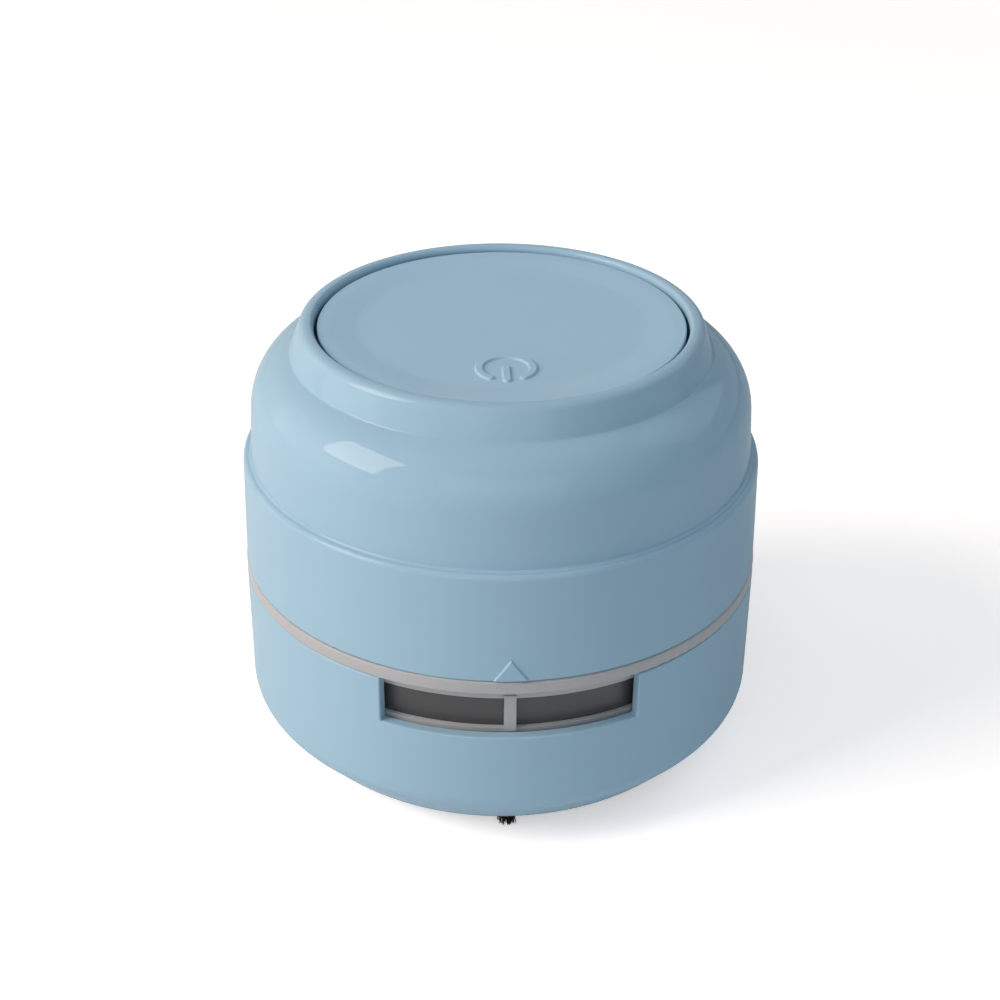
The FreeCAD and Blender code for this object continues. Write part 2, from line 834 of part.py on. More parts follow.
def usb_slot():
    # A slot with round ends through the back of the skirt.
    width = usb_width + 2 * usb_slot_gap
    height = usb_height + 2 * usb_slot_gap
    radius = height / 2
    depth = 2 * (skirt_wall + past)
    middle = block(width - height, depth, usb_level - radius, usb_level + radius, 0, skirt_foot_radius)
    ends = []
    for side in (-1, 1):
        start = Vector(side * (width - height) / 2, skirt_foot_radius - depth / 2, usb_level)
        ends.append(Part.makeCylinder(radius, depth, start, Vector(0, 1, 0)))
    return joined([middle] + ends)


def dome_cover():
    spigot_foot = skirt_top - spigot_height
    shell = turned([
        (dome_foot_radius - dome_wall, spigot_foot),
        (dome_foot_radius, spigot_foot),
        (dome_foot_radius, skirt_top),
        (dome_shoulder_radius, shoulder_level, shoulder_round),
        (flank_foot_radius, flank_foot, flank_foot_round),
        (rim_outer_radius, crest_level, rim_crest_round),
        (well_radius, crest_level, rim_inner_round),
        (well_radius, well_level),
        (switch_hole_radius, well_level),
        (switch_hole_radius, well_under),
        (dome_shoulder_radius - dome_wall, well_under, shoulder_round - dome_wall),
        (dome_foot_radius - dome_wall, skirt_top)])
    additions = [shell]
    cuts = []
    for angle in boss_angles:
        x, y = on_circle(boss_circle, angle)
        additions.append(disc(boss_radius, flange_top, skirt_top + boss_rise, x, y))
        cuts.append(disc(housing_screw_radius, flange_top - past, screw_tip + fuse, x, y))
    for angle in hook_angles:
        cuts.append(hook_slot(angle))
    return without(joined(additions), cuts)


def hook_slot(angle):
    depth = hook_thickness + hook_nose + 2 * hook_slot_clearance
    width = hook_width + 2 * hook_slot_clearance
    slot = Part.makeBox(depth, width, well_floor + 2 * past,
                        Vector(hook_circle - hook_slot_clearance, -width / 2, well_under - past))
    return turn(slot, angle)


# ---------------------------------------------------------------- press plate
def press_plate():
    floor = plate_top - dish_depth
    plate = turned([
        (0, plate_under),
        (plate_radius - plate_skirt_wall, plate_under),
        (plate_radius - plate_skirt_wall, plate_top - plate_skirt),
        (plate_radius, plate_top - plate_skirt),
        (plate_radius, plate_top, plate_edge_round),
        (dish_radius, plate_top, dish_round),
        (dish_radius - dish_slope, floor, dish_round),
        (0, floor)])
    boss = disc(push_boss_radius, plunger_top, plate_under + fuse)
    hooks = [plate_hook(angle) for angle in hook_angles]
    return joined([plate, boss] + hooks + power_symbol(floor))


def plate_hook(angle):
    # A leg through the well's floor with a nose that catches under it.
    nose_top = well_under - hook_play
    foot = nose_top - hook_nose_height
    leg = Part.makeBox(hook_thickness, hook_width, plate_under + fuse - foot,
                       Vector(hook_circle, -hook_width / 2, foot))
    reach = hook_circle + hook_thickness
    points = [Vector(reach, 0, foot), Vector(reach + hook_nose, 0, nose_top), Vector(reach, 0, nose_top)]
    nose = Part.Face(Part.makePolygon(points + points[:1]))
    nose.translate(Vector(0, -hook_width / 2, 0))
    return turn(joined([leg, nose.extrude(Vector(0, hook_width, 0))]), angle)


def power_symbol(floor):
    # A raised ring, open towards the front, and a bar in its opening. The sides slope.
    middle = symbol_radius - symbol_stroke / 2
    sweep = 360.0 - 2 * symbol_gap_angle
    stroke = Part.Face(outline(stroke_section(middle, floor))).revolve(Vector(), UP, sweep).Solids[0]
    stroke = turn(stroke, 270.0 + symbol_gap_angle)
    stroke.translate(Vector(0, -symbol_offset, 0))
    ends = []
    for side in (-1, 1):
        x, y = on_circle(middle, 270.0 + side * symbol_gap_angle)
        ends.append(stroke_end(x, y - symbol_offset, floor))
    bar_start = -symbol_offset + symbol_stroke / 2
    bar_end = bar_start - bar_length + symbol_stroke
    bar = Part.Face(outline(stroke_section(0, floor))).extrude(Vector(0, bar_end - bar_start, 0))
    bar.translate(Vector(0, bar_start, 0))
    for y in (bar_start, bar_end):
        ends.append(stroke_end(0, y, floor))
    return [stroke, bar] + ends


def stroke_section(x, floor):
    foot = symbol_stroke / 2 + fuse * symbol_slope
    top = symbol_stroke / 2 - symbol_relief * symbol_slope
    low = floor - fuse
    high = floor + symbol_relief
    return [(x - foot, low), (x + foot, low), (x + top, high), (x - top, high)]


def stroke_end(x, y, floor):
    foot = symbol_stroke / 2 + fuse * symbol_slope
    top = symbol_stroke / 2 - symbol_relief * symbol_slope
    return Part.makeCone(foot, top, fuse + symbol_relief, Vector(x, y, floor - fuse))


def switch_plunger():
    return disc(plunger_radius, switch_top - plunger_depth, plunger_top)


def return_springs():
    # Coil springs between the well's floor and the plate, of square wire.
    free = plate_under - well_level
    pitch = (free - spring_wire) / spring_turns
    springs = []
    for angle in spring_angles:
        x, y = on_circle(spring_circle, angle)
        path = Part.makeHelix(pitch, pitch * spring_turns, spring_radius)
        half = spring_wire / 2
        corners = [Vector(spring_radius + dx, 0, dz) for dx, dz in
                   ((-half, -half), (half, -half), (half, half), (-half, half))]
        section = Part.makePolygon(corners + corners[:1])
        coil = Part.Wire(path).makePipeShell([section], True, True)
        coil.translate(Vector(x, y, well_level + half))
        springs.append(coil)
    return group(springs)


# ---------------------------------------------------------------- motor
def motor_can():
    bore = motor_radius - motor_wall
    can = turned([
        (bearing_radius, bearing_foot),
        (motor_boss_radius, bearing_foot),
        (motor_boss_radius, motor_face_level),
        (motor_radius, motor_face_level, edge_round),
        (motor_radius, motor_top),
        (bore, motor_top),
        (bore, motor_face_level + motor_face),
        (motor_boss_radius, motor_face_level + motor_face),
        (motor_boss_radius, bearing_top),
        (bearing_radius, bearing_top)])
    holes = []
    for side in (-1, 1):
        holes.append(disc(motor_screw_radius, motor_face_level - past,
                          motor_face_level + motor_face + past, side * motor_screw_offset))
    return without(can, holes)


def motor_end_cap():
    bore = motor_radius - motor_wall
    cap = turned([
        (bearing_radius, boss_top - bearing_length),
        (bore, boss_top - bearing_length),
        (bore, motor_top),
        (motor_radius, motor_top),
        (motor_radius, cap_top, edge_round),
        (cap_boss_radius, cap_top),
        (cap_boss_radius, boss_top),
        (bearing_radius, boss_top)])
    slots = [block(terminal_thickness, terminal_width, motor_top - terminal_root, cap_top + past,
                   side * terminal_offset) for side in (-1, 1)]
    return without(cap, slots)


def motor_bearings():
    bore = shaft_radius + shaft_clearance
    front = ring(bore, bearing_radius, bearing_foot, bearing_top)
    rear = ring(bore, bearing_radius, boss_top - bearing_length, boss_top)
    return group([front, rear])


def field_magnets():
    outer = motor_radius - motor_wall
    low = motor_face_level + magnet_start
    return group([sector(outer - magnet_thickness, outer, low, low + magnet_length,
                         angle, magnet_half_angle) for angle in (0.0, 180.0)])


def motor_terminals():
    return group([block(terminal_thickness, terminal_width, motor_top,
                        cap_top + terminal_height, side * terminal_offset) for side in (-1, 1)])


def motor_damper():
    top = motor_face_level + motor_cup_height
    return ring(motor_radius, motor_radius + damper_width, top - damper_height, top)


def motor_screws():
    screws = []
    for side in (-1, 1):
        x = side * motor_screw_offset
        head_top = well_bottom + motor_screw_head_height
        head = disc(motor_screw_head, well_bottom, head_top, x)
        shank = disc(motor_screw_radius, head_top - fuse, head_top + motor_screw_length, x)
        screws.append(joined([head, shank]))
    return group(screws)


def motor_shaft():
    low = motor_face_level - shaft_below
    return disc(shaft_radius, low, boss_top + shaft_above)


def armature():
    radius = motor_radius - motor_wall - magnet_thickness - air_gap
    low = motor_face_level + magnet_start + (magnet_length - armature_length) / 2
    core = ring(shaft_radius, radius, low, low + armature_length)
    slots = []
    for angle in evenly(armature_slots, slot_start):
        neck = Part.makeBox(slot_depth + past, slot_width, armature_length,
                            Vector(radius - slot_depth, -slot_width / 2, low))
        slots.append(turn(neck, angle))
        slots.append(disc(slot_width, low, low + armature_length,
                          *on_circle(radius - slot_depth, angle)))
    return without(core, slots)


def commutator():
    low = motor_face_level + magnet_start + magnet_length / 2 + armature_length / 2
    return ring(shaft_radius, commutator_radius, low, low + commutator_length)


# ---------------------------------------------------------------- fan
def impeller():
    hub_foot = impeller_back - hub_below_plate
    body = turned([
        (shaft_radius, hub_foot),
        (impeller_hub_radius, hub_foot, hub_nose_round),
        (impeller_hub_radius, impeller_back - hub_flare),
        (impeller_hub_radius + hub_flare, impeller_back),
        (impeller_radius, impeller_back),
        (impeller_radius, impeller_top),
        (shaft_radius, impeller_top)])
    tip_foot = impeller_back - blade_tip_height
    root_radius = blade_inner_radius - blade_root_slope
    envelope = turned([
        (blade_inner_radius, blade_foot),
        (impeller_radius, tip_foot),
        (impeller_radius, impeller_back + fuse),
        (root_radius, impeller_back + fuse),
        (root_radius, impeller_back - past)])
    blade = arc_strip(root_radius + fuse, impeller_radius + past, blade_sweep,
                      blade_thickness, blade_foot, impeller_back + fuse).common(envelope)
    blades = [turn(blade, angle) for angle in evenly(blade_count)]
    return joined([body] + blades)


# ---------------------------------------------------------------- electrics
def battery_cell():
    along = Vector(1, 0, 0)
    start = Vector(-cell_length / 2, -cell_offset, cell_level)
    can_length = cell_length - cell_button
    can = Part.makeCylinder(cell_radius, can_length, start, along)
    button = Part.makeCylinder(cell_button_radius, cell_button + past,
                               start + along * (can_length - past), along)
    return joined([can, button])


def battery_tabs():
    tabs = []
    for x in (-cell_length / 2 - tab_thickness / 2, cell_length / 2 + tab_thickness / 2):
        tabs.append(block(tab_thickness, tab_width, cell_level - cell_button_radius,
                          cell_level + tab_height, x, -cell_offset))
    return group(tabs)


def control_board():
    board = disc(board_radius, board_level, board_top)
    holes = [disc(board_screw_radius + screw_hole_gap, board_level - past, board_top + past,
                  *on_circle(pillar_circle, angle)) for angle in pillar_angles]
    return without(board, holes)


def power_switch():
    body = block(switch_side, switch_side, board_top, switch_top)
    body = body.makeFillet(edge_round, [edge for edge in body.Edges if edge.BoundBox.ZLength > 1])
    bore_foot = switch_top - plunger_depth - plate_travel - plunger_bottom_gap
    return body.cut(disc(plunger_radius + plunger_clearance, bore_foot, switch_top + past))


def board_screws():
    screws = []
    for angle in pillar_angles:
        x, y = on_circle(pillar_circle, angle)
        head = disc(board_screw_head, board_top, board_top + board_screw_head_height, x, y)
        shank = disc(board_screw_radius, board_top - board_screw_length + fuse, board_top + fuse, x, y)
        screws.append(joined([head, shank]))
    return group(screws)


def usb_mouth():
    return skirt_face(usb_level) - usb_recess


def charge_post_line():
    return usb_mouth() - charge_board_setback - charge_board_depth + charge_post_radius + charge_post_edge


def charge_board():
    return block(charge_board_width, charge_board_depth, charge_board_foot,
                 charge_board_foot + board_thickness, 0, usb_mouth() - charge_board_setback - charge_board_depth / 2)


def usb_socket():
    # A pressed steel shell, open at its mouth, and the tongue inside it.
    low = usb_level - usb_height / 2
    high = usb_level + usb_height / 2
    middle = usb_mouth() - usb_depth / 2
    shell = block(usb_width, usb_depth, low, high, 0, middle)
    shell = shell.makeFillet(usb_shell_round, [e for e in shell.Edges if e.BoundBox.YLength > 1])
    hollow = block(usb_width - 2 * usb_wall, usb_depth, low + usb_wall, high - usb_wall,
                   0, middle + usb_wall)
    hollow = hollow.makeFillet(usb_bore_round, [e for e in hollow.Edges if e.BoundBox.YLength > 1])
    tongue = block(usb_tongue_width, usb_depth - usb_tongue_inset, usb_level - usb_tongue / 2,
                   usb_level + usb_tongue / 2, 0, middle - usb_tongue_inset / 2)
    return joined([shell.cut(hollow), tongue])


def housing_screws():
    screws = []
    for angle in boss_angles:
        x, y = on_circle(boss_circle, angle)
        head = disc(housing_screw_head, screw_seat - housing_screw_head_height, screw_seat, x, y)
        shank = disc(housing_screw_radius, screw_seat - fuse, screw_tip, x, y)
        screws.append(joined([head, shank]))
    return group(screws)


# ---------------------------------------------------------------- write the parts
pieces = {
    "dust_cup": dust_cup,
    "intake_nozzle": intake_nozzle,
    "brush_tufts": brush_tufts,
    "glide_feet": glide_feet,
    "filter_frame": filter_frame,
    "exhaust_screen": exhaust_screen,
    "filter_mesh": filter_mesh,
    "filter_retainer": filter_retainer,
    "seal_ring": seal_ring,
    "chassis": chassis,
    "inlet_shroud": inlet_shroud,
    "skirt_shell": skirt_shell,
    "dome_cover": dome_cover,
    "motor_can": motor_can,
    "motor_end_cap": motor_end_cap,
    "motor_bearings": motor_bearings,
    "field_magnets": field_magnets,
    "motor_terminals": motor_terminals,
    "motor_damper": motor_damper,
    "motor_screws": motor_screws,
    "battery_cell": battery_cell,
    "battery_tabs": battery_tabs,
    "control_board": control_board,
    "power_switch": power_switch,
    "board_screws": board_screws,
    "charge_board": charge_board,
    "usb_socket": usb_socket,
    "housing_screws": housing_screws,
    "return_springs": return_springs,
    "press_plate": press_plate,
    "switch_plunger": switch_plunger,
    "impeller": impeller,
    "motor_shaft": motor_shaft,
    "armature": armature,
    "commutator": commutator,
}

os.makedirs("parts", exist_ok=True)
for name, make in pieces.items():
    shape = make()
    shape.exportStep("parts/" + name + ".step")
    print(name, len(shape.Solids), "solids", round(shape.Volume, 1), "mm3", shape.isValid())
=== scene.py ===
import bpy
import json
import math
import numpy as np
from mathutils import Matrix, Vector


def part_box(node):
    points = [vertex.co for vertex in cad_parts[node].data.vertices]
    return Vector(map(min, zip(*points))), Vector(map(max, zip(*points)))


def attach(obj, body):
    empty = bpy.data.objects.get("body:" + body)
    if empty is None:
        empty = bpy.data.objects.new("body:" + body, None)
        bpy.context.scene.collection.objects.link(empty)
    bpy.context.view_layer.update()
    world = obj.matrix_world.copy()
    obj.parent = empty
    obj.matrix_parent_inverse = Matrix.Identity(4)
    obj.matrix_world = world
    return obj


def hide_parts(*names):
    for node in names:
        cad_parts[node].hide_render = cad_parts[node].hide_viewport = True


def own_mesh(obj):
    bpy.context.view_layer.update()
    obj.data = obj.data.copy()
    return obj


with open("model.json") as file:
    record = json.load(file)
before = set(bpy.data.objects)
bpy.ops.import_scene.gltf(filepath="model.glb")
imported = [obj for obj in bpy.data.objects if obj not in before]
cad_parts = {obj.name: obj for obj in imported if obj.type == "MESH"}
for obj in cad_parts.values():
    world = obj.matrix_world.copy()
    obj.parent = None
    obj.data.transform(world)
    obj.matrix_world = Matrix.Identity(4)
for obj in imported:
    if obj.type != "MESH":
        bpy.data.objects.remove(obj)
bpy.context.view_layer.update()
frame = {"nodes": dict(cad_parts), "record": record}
mm = 0.001
print("frame loaded:", len(frame["nodes"]), "nodes")


cameraLook = {
    "azimuth": -2.4,        # degrees round the object, 0 is straight in front
    "elevation": 30.03,
    "distance": 285.6,      # mm from the point looked at
    "aimSide": -0.079,      # mm to the right of the axis
    "aimHeight": 40.44,     # mm above the desk
    "lens": 60.98,
    "sensor": 36,
    "nearest": 0.005,       # metres, where its view starts
    "roll": 0.44,
}


def direction(azimuth, elevation):
    # Outwards from the axis, for angles in radians, where azimuth 0 is straight in front.
    return Vector((math.sin(azimuth) * math.cos(elevation),
                   -math.cos(azimuth) * math.cos(elevation),
                   math.sin(elevation)))


def placeCamera(look):
    # Camera on a sphere round the aim point, then rolled about its own line of sight.
    azimuth = math.radians(look["azimuth"])
    roll = math.radians(look["roll"])
    back = direction(azimuth, math.radians(look["elevation"]))
    right = Vector((math.cos(azimuth), math.sin(azimuth), 0))
    up = back.cross(right)
    rolledRight = right * math.cos(roll) + up * math.sin(roll)
    rolledUp = up * math.cos(roll) - right * math.sin(roll)
    aim = right * look["aimSide"] + Vector((0, 0, look["aimHeight"]))
    place = (aim + back * look["distance"]) * mm
    camera = bpy.data.objects.new("camera", bpy.data.cameras.new("camera"))
    camera.data.lens = look["lens"]
    camera.data.sensor_width = look["sensor"]
    camera.data.clip_start = look["nearest"]
    turned = Matrix((rolledRight, rolledUp, back)).transposed().to_4x4()
    camera.matrix_world = Matrix.Translation(place) @ turned
    bpy.context.scene.collection.objects.link(camera)
    bpy.context.scene.camera = camera


warm, cool, cooler = (1.17, 1.0, 0.92), (0.88, 1.01, 1.13), (0.83, 1.01, 1.18)
lampAim = Vector((0, 0, 0.04))      # about the middle of the body, in metres

softLights = {
    # azimuth (0 in front, positive to the right) and elevation of the middle, in degrees,
    # distance, width and height in metres, brightness where white is 1
    "keyBox": {"azimuth": -74, "elevation": 35, "distance": 1.0, "width": 0.50, "height": 0.50,
               "brightness": 8.9, "tint": warm},
    "leftWall": {"azimuth": -95, "elevation": 18, "distance": 1.5, "width": 1.6, "height": 1.0,
                 "brightness": 1.25, "tint": warm},
    "frontBox": {"azimuth": 0, "elevation": 30, "distance": 1.8, "width": 1.6, "height": 1.2,
                 "brightness": 1.33, "tint": cooler},
    "topBox": {"azimuth": -20, "elevation": 80, "distance": 1.3, "width": 1.3, "height": 1.1,
               "brightness": 0.58, "tint": cool},
    "rightCard": {"azimuth": 115, "elevation": 38, "distance": 1.3, "width": 1.0, "height": 0.8,
                  "brightness": 1.2, "tint": cool},
}


def placeLight(name, look):
    # An area lamp that faces the object. Its power is brightness x area x pi.
    away = direction(math.radians(look["azimuth"]), math.radians(look["elevation"]))
    lamp = bpy.data.lights.new(name, "AREA")
    lamp.shape = "RECTANGLE"
    lamp.size = look["width"]
    lamp.size_y = look["height"]
    lamp.energy = look["brightness"] * look["width"] * look["height"] * math.pi
    lamp.color = look["tint"]
    holder = bpy.data.objects.new(name, lamp)
    holder.matrix_world = (Matrix.Translation(away * look["distance"] + lampAim)
                           @ away.to_track_quat("Z", "Y").to_matrix().to_4x4())
    bpy.context.scene.collection.objects.link(holder)


def arithmetic(nodes, links, operation, first, second=None, third=None):
    node = nodes.new("ShaderNodeMath")
    node.operation = operation
    for socket, value in zip(node.inputs, (first, second, third)):
        if isinstance(value, (int, float)):
            socket.default_value = value
        elif value is not None:
            links.new(value, socket)
    return node.outputs[0]


def mapped(nodes, links, value, source, target, kind="LINEAR"):
    # A value carried from one range to another.
    reach = nodes.new("ShaderNodeMapRange")
    reach.interpolation_type = kind
    for socket, limit in zip(("From Min", "From Max", "To Min", "To Max"), (*source, *target)):
        reach.inputs[socket].default_value = limit
    links.new(value, reach.inputs["Value"])
    return reach.outputs["Result"]


def rayIs(nodes, links, first, *kinds):
    # 1 for a ray of one of these kinds, else 0.
    path = nodes.new("ShaderNodeLightPath")
    found = path.outputs[first]
    for kind in kinds:
        found = arithmetic(nodes, links, "MAXIMUM", found, path.outputs[kind])
    return found


studio = {
    "ambient": 0.06,        # light that the walls of the studio send back
    "backdrop": 1.0,
    "floorColor": (0.95, 0.95, 0.95),
    "liftTint": (1.09, 1.0, 0.93),      # warm, where the fill lamps are cool
    "floorLift": 0.43,      # added where the floor itself is looked at
    "mirroredLift": 0.10,   # and where it is seen in a mirror or through glass
    "farLift": 1.08,        # takes its place far off, so that no horizon shows
    "far": (0.45, 1.2),     # metres from the middle, over which it does so
    "floorHalf": 3.0,       # metres from the middle to an edge
}


def makeSurroundings(look):
    # White where it is seen, also in a mirror or through glass, and dim as a light.
    world = bpy.data.worlds.new("studio")
    bpy.context.scene.world = world
    world.use_nodes = True
    nodes, links = world.node_tree.nodes, world.node_tree.links
    background = nodes["Background"]
    background.inputs["Color"].default_value = (1, 1, 1, 1)
    seen = rayIs(nodes, links, "Is Camera Ray", "Is Glossy Ray", "Is Transmission Ray")
    links.new(mapped(nodes, links, seen, (0, 1), (look["ambient"], look["backdrop"])),
              background.inputs["Strength"])


def paleFloor(look):
    # Matt paint that takes shadows, plus a lift where it is looked at and a smaller one
    # where it is mirrored.
    material = bpy.data.materials.new("paleFloor")
    material.use_nodes = True
    nodes, links = material.node_tree.nodes, material.node_tree.links
    nodes.clear()
    paint = nodes.new("ShaderNodeBsdfDiffuse")
    paint.inputs["Color"].default_value = (*look["floorColor"], 1)
    lift = nodes.new("ShaderNodeEmission")
    lift.inputs["Color"].default_value = (*look["liftTint"], 1)
    off = nodes.new("ShaderNodeVectorMath")
    off.operation = "LENGTH"
    links.new(nodes.new("ShaderNodeTexCoord").outputs["Object"], off.inputs[0])
    rise = mapped(nodes, links, off.outputs["Value"], look["far"],
                  (look["floorLift"], look["farLift"]), "SMOOTHSTEP")
    straight = arithmetic(nodes, links, "MULTIPLY", rayIs(nodes, links, "Is Camera Ray"), rise)
    mirrored = arithmetic(nodes, links, "MULTIPLY",
                          rayIs(nodes, links, "Is Glossy Ray", "Is Transmission Ray"),
                          look["mirroredLift"])
    links.new(arithmetic(nodes, links, "MAXIMUM", straight, mirrored), lift.inputs["Strength"])
    both = nodes.new("ShaderNodeAddShader")
    links.new(paint.outputs[0], both.inputs[0])
    links.new(lift.outputs[0], both.inputs[1])
    out = nodes.new("ShaderNodeOutputMaterial")
    links.new(both.outputs[0], out.inputs["Surface"])
    return material


def makeFloor(look):
    half = look["floorHalf"]
    mesh = bpy.data.meshes.new("floor")
    mesh.from_pydata([(-half, -half, 0), (half, -half, 0), (half, half, 0), (-half, half, 0)], [],
                     [(0, 1, 2, 3)])
    mesh.materials.append(paleFloor(look))
    floor = bpy.data.objects.new("floor", mesh)
    bpy.context.scene.collection.objects.link(floor)


placeCamera(cameraLook)
for name, look in softLights.items():
    placeLight(name, look)
makeSurroundings(studio)
makeFloor(studio)
bpy.context.scene.view_settings.view_transform = "Standard"
print("camera, floor and light in place")


# Colours are linear, and roughness runs from low to high. Waves, grains, pitches and the
# patches over which a shine changes are in mm.

def startMaterial(name):
    material = bpy.data.materials.new(name)
    material.use_nodes = True
    tree = material.node_tree
    return material, tree.nodes, tree.links, tree.nodes["Principled BSDF"]


def objectPlace(nodes):
    return nodes.new("ShaderNodeTexCoord").outputs["Object"]


def noise(nodes, links, place, size, detail=2.0):
    # Soft blobs about size mm wide, from 0 to 1.
    texture = nodes.new("ShaderNodeTexNoise")
    texture.inputs["Scale"].default_value = 1 / (size * mm)
    texture.inputs["Detail"].default_value = detail
    links.new(place, texture.inputs["Vector"])
    return texture.outputs["Fac"]


def stretched(nodes, links, place, factors):
    # The place, shrunk along each axis, so that a pattern on it is drawn out.
    mapping = nodes.new("ShaderNodeMapping")
    mapping.inputs["Scale"].default_value = factors
    links.new(place, mapping.inputs["Vector"])
    return mapping.outputs["Vector"]


def spread(nodes, links, value, low, high):
    # Noise keeps near its middle, so 0.3 to 0.7 is stretched over low to high.
    return mapped(nodes, links, value, (0.3, 0.7), (low, high))


def between(nodes, links, factor, first, second):
    # A colour between two.
    mix = nodes.new("ShaderNodeMix")
    mix.data_type = "RGBA"
    mix.inputs["A"].default_value = (*first, 1)
    mix.inputs["B"].default_value = (*second, 1)
    links.new(factor, mix.inputs["Factor"])
    return mix.outputs["Result"]


def bump(nodes, links, height, depth, under=None):
    node = nodes.new("ShaderNodeBump")
    node.inputs["Distance"].default_value = depth * mm
    links.new(height, node.inputs["Height"])
    if under is not None:
        links.new(under, node.inputs["Normal"])
    return node.outputs["Normal"]


def shades(color, change):
    return [c * (1 - change) for c in color], [c * (1 + change) for c in color]


def dress(nodes, links, shader, look, factor, colors, shine, relief=None):
    # A colour between two, roughness from low to high, and relief as deep as the grain.
    links.new(between(nodes, links, factor, *colors), shader.inputs["Base Color"])
    links.new(spread(nodes, links, shine, *look["roughness"]), shader.inputs["Roughness"])
    if relief is not None:
        links.new(bump(nodes, links, relief, look["grainDepth"]), shader.inputs["Normal"])
    shader.inputs["Metallic"].default_value = look.get("metallic", 0)


def separated(nodes, links, place):
    split = nodes.new("ShaderNodeSeparateXYZ")
    links.new(place, split.inputs[0])
    return split.outputs


plasticPatches = {"cloud": 24, "haze": 9}       # of its colour and of its gloss


def mouldedPlastic(name, look):
    # Cloudy colour, hazy patches of gloss, a slow waviness and the tool's fine grain.
    material, nodes, links, shader = startMaterial(name)
    place = objectPlace(nodes)
    cloud = spread(nodes, links, noise(nodes, links, place, plasticPatches["cloud"]), 0, 1)
    haze = noise(nodes, links, place, plasticPatches["haze"], detail=4)
    dress(nodes, links, shader, look, cloud, shades(look["color"], look["cloud"]), haze)
    slow = noise(nodes, links, place, look["waveSize"], detail=1)
    wave = bump(nodes, links, slow, look["waveDepth"])
    grain = noise(nodes, links, place, look["grainSize"], detail=3)
    links.new(bump(nodes, links, grain, look["grainDepth"], wave), shader.inputs["Normal"])
    shader.inputs["Specular IOR Level"].default_value = look["specular"]
    shader.inputs["Coat Weight"].default_value = look.get("lacquer", 0)
    shader.inputs["Coat Roughness"].default_value = look.get("lacquerRoughness", 0)
    return material


def platedMetal(name, look):
    # Drawn or rolled metal: streaks along one axis in its shine and its height.
    material, nodes, links, shader = startMaterial(name)
    place = objectPlace(nodes)
    drawn = stretched(nodes, links, place, look["stretch"])
    streak = noise(nodes, links, drawn, look["grainSize"], detail=4)
    dress(nodes, links, shader, {**look, "metallic": 1}, streak,
          shades(look["color"], look["cloud"]), streak, streak)
    return material


def wovenCloth(name, look):
    # Threads along X and Y, one over the other: the product of two sine waves. The colour is painted
    # darker where the weave is low, as painted shade in its hollows.
    material, nodes, links, shader = startMaterial(name)
    place = objectPlace(nodes)
    parts = separated(nodes, links, place)
    waves = []
    for axis in ("X", "Y"):
        turns = arithmetic(nodes, links, "MULTIPLY", parts[axis],
                           2 * math.pi / (look["pitch"] * mm))
        waves.append(arithmetic(nodes, links, "SINE", turns))
    weave = arithmetic(nodes, links, "MULTIPLY", *waves)
    height = arithmetic(nodes, links, "MULTIPLY_ADD", weave, 0.5, 0.5)
    # painted shade: the gap colour goes where the weave's height is low
    dress(nodes, links, shader, look, height, (look["gap"], look["color"]),
          noise(nodes, links, place, look["patch"]), height)
    return material


def laminatedCore(name, look):
    # Thin steel sheets stacked along the axis, with a dark line at each joint.
    material, nodes, links, shader = startMaterial(name)
    place = objectPlace(nodes)
    height = separated(nodes, links, place)["Z"]
    sheets = arithmetic(nodes, links, "FRACT",
                        arithmetic(nodes, links, "DIVIDE", height, look["pitch"] * mm))
    joint = arithmetic(nodes, links, "LESS_THAN", sheets, look["joint"])
    dress(nodes, links, shader, look, joint, (look["color"], look["gap"]),
          noise(nodes, links, place, look["patch"]))
    return material


def segmentedCopper(name, look):
    # Bars round the axis with dark slots between, from the angle about it.
    material, nodes, links, shader = startMaterial(name)
    place = objectPlace(nodes)
    parts = separated(nodes, links, place)
    angle = arithmetic(nodes, links, "ARCTAN2", parts["Y"], parts["X"])
    share = arithmetic(nodes, links, "FRACT",
                       arithmetic(nodes, links, "MULTIPLY", angle, look["bars"] / (2 * math.pi)))
    slot = arithmetic(nodes, links, "LESS_THAN", share, look["joint"])
    dress(nodes, links, shader, look, slot, (look["color"], look["gap"]),
          noise(nodes, links, place, look["patch"]))
    return material


def circuitBoard(name, look):
    # Solder mask with square patches a little raised, where the copper runs under it.
    material, nodes, links, shader = startMaterial(name)
    place = objectPlace(nodes)
    cells = nodes.new("ShaderNodeTexVoronoi")
    cells.distance = "CHEBYCHEV"
    cells.inputs["Scale"].default_value = 1 / (look["pitch"] * mm)
    links.new(place, cells.inputs["Vector"])
    copper = arithmetic(nodes, links, "LESS_THAN", cells.outputs["Distance"], look["joint"])
    dress(nodes, links, shader, look, copper, (look["color"], look["gap"]),
          noise(nodes, links, place, look["patch"]), copper)
    return material


def wrappedCell(name, look):
    # A tight sleeve with faint rings where it shrank, and bare metal at the two ends.
    material, nodes, links, shader = startMaterial(name)
    place = objectPlace(nodes)
    side = arithmetic(nodes, links, "ABSOLUTE", separated(nodes, links, place)["X"])
    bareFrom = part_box("battery_cell")[1].x - look["bareEnd"] * mm
    end = arithmetic(nodes, links, "GREATER_THAN", side, bareFrom)
    shrunk = stretched(nodes, links, place, look["stretch"])
    rings = noise(nodes, links, shrunk, look["patch"], detail=3)
    dress(nodes, links, shader, look, end, (look["color"], look["gap"]), rings, rings)
    links.new(end, shader.inputs["Metallic"])
    return material


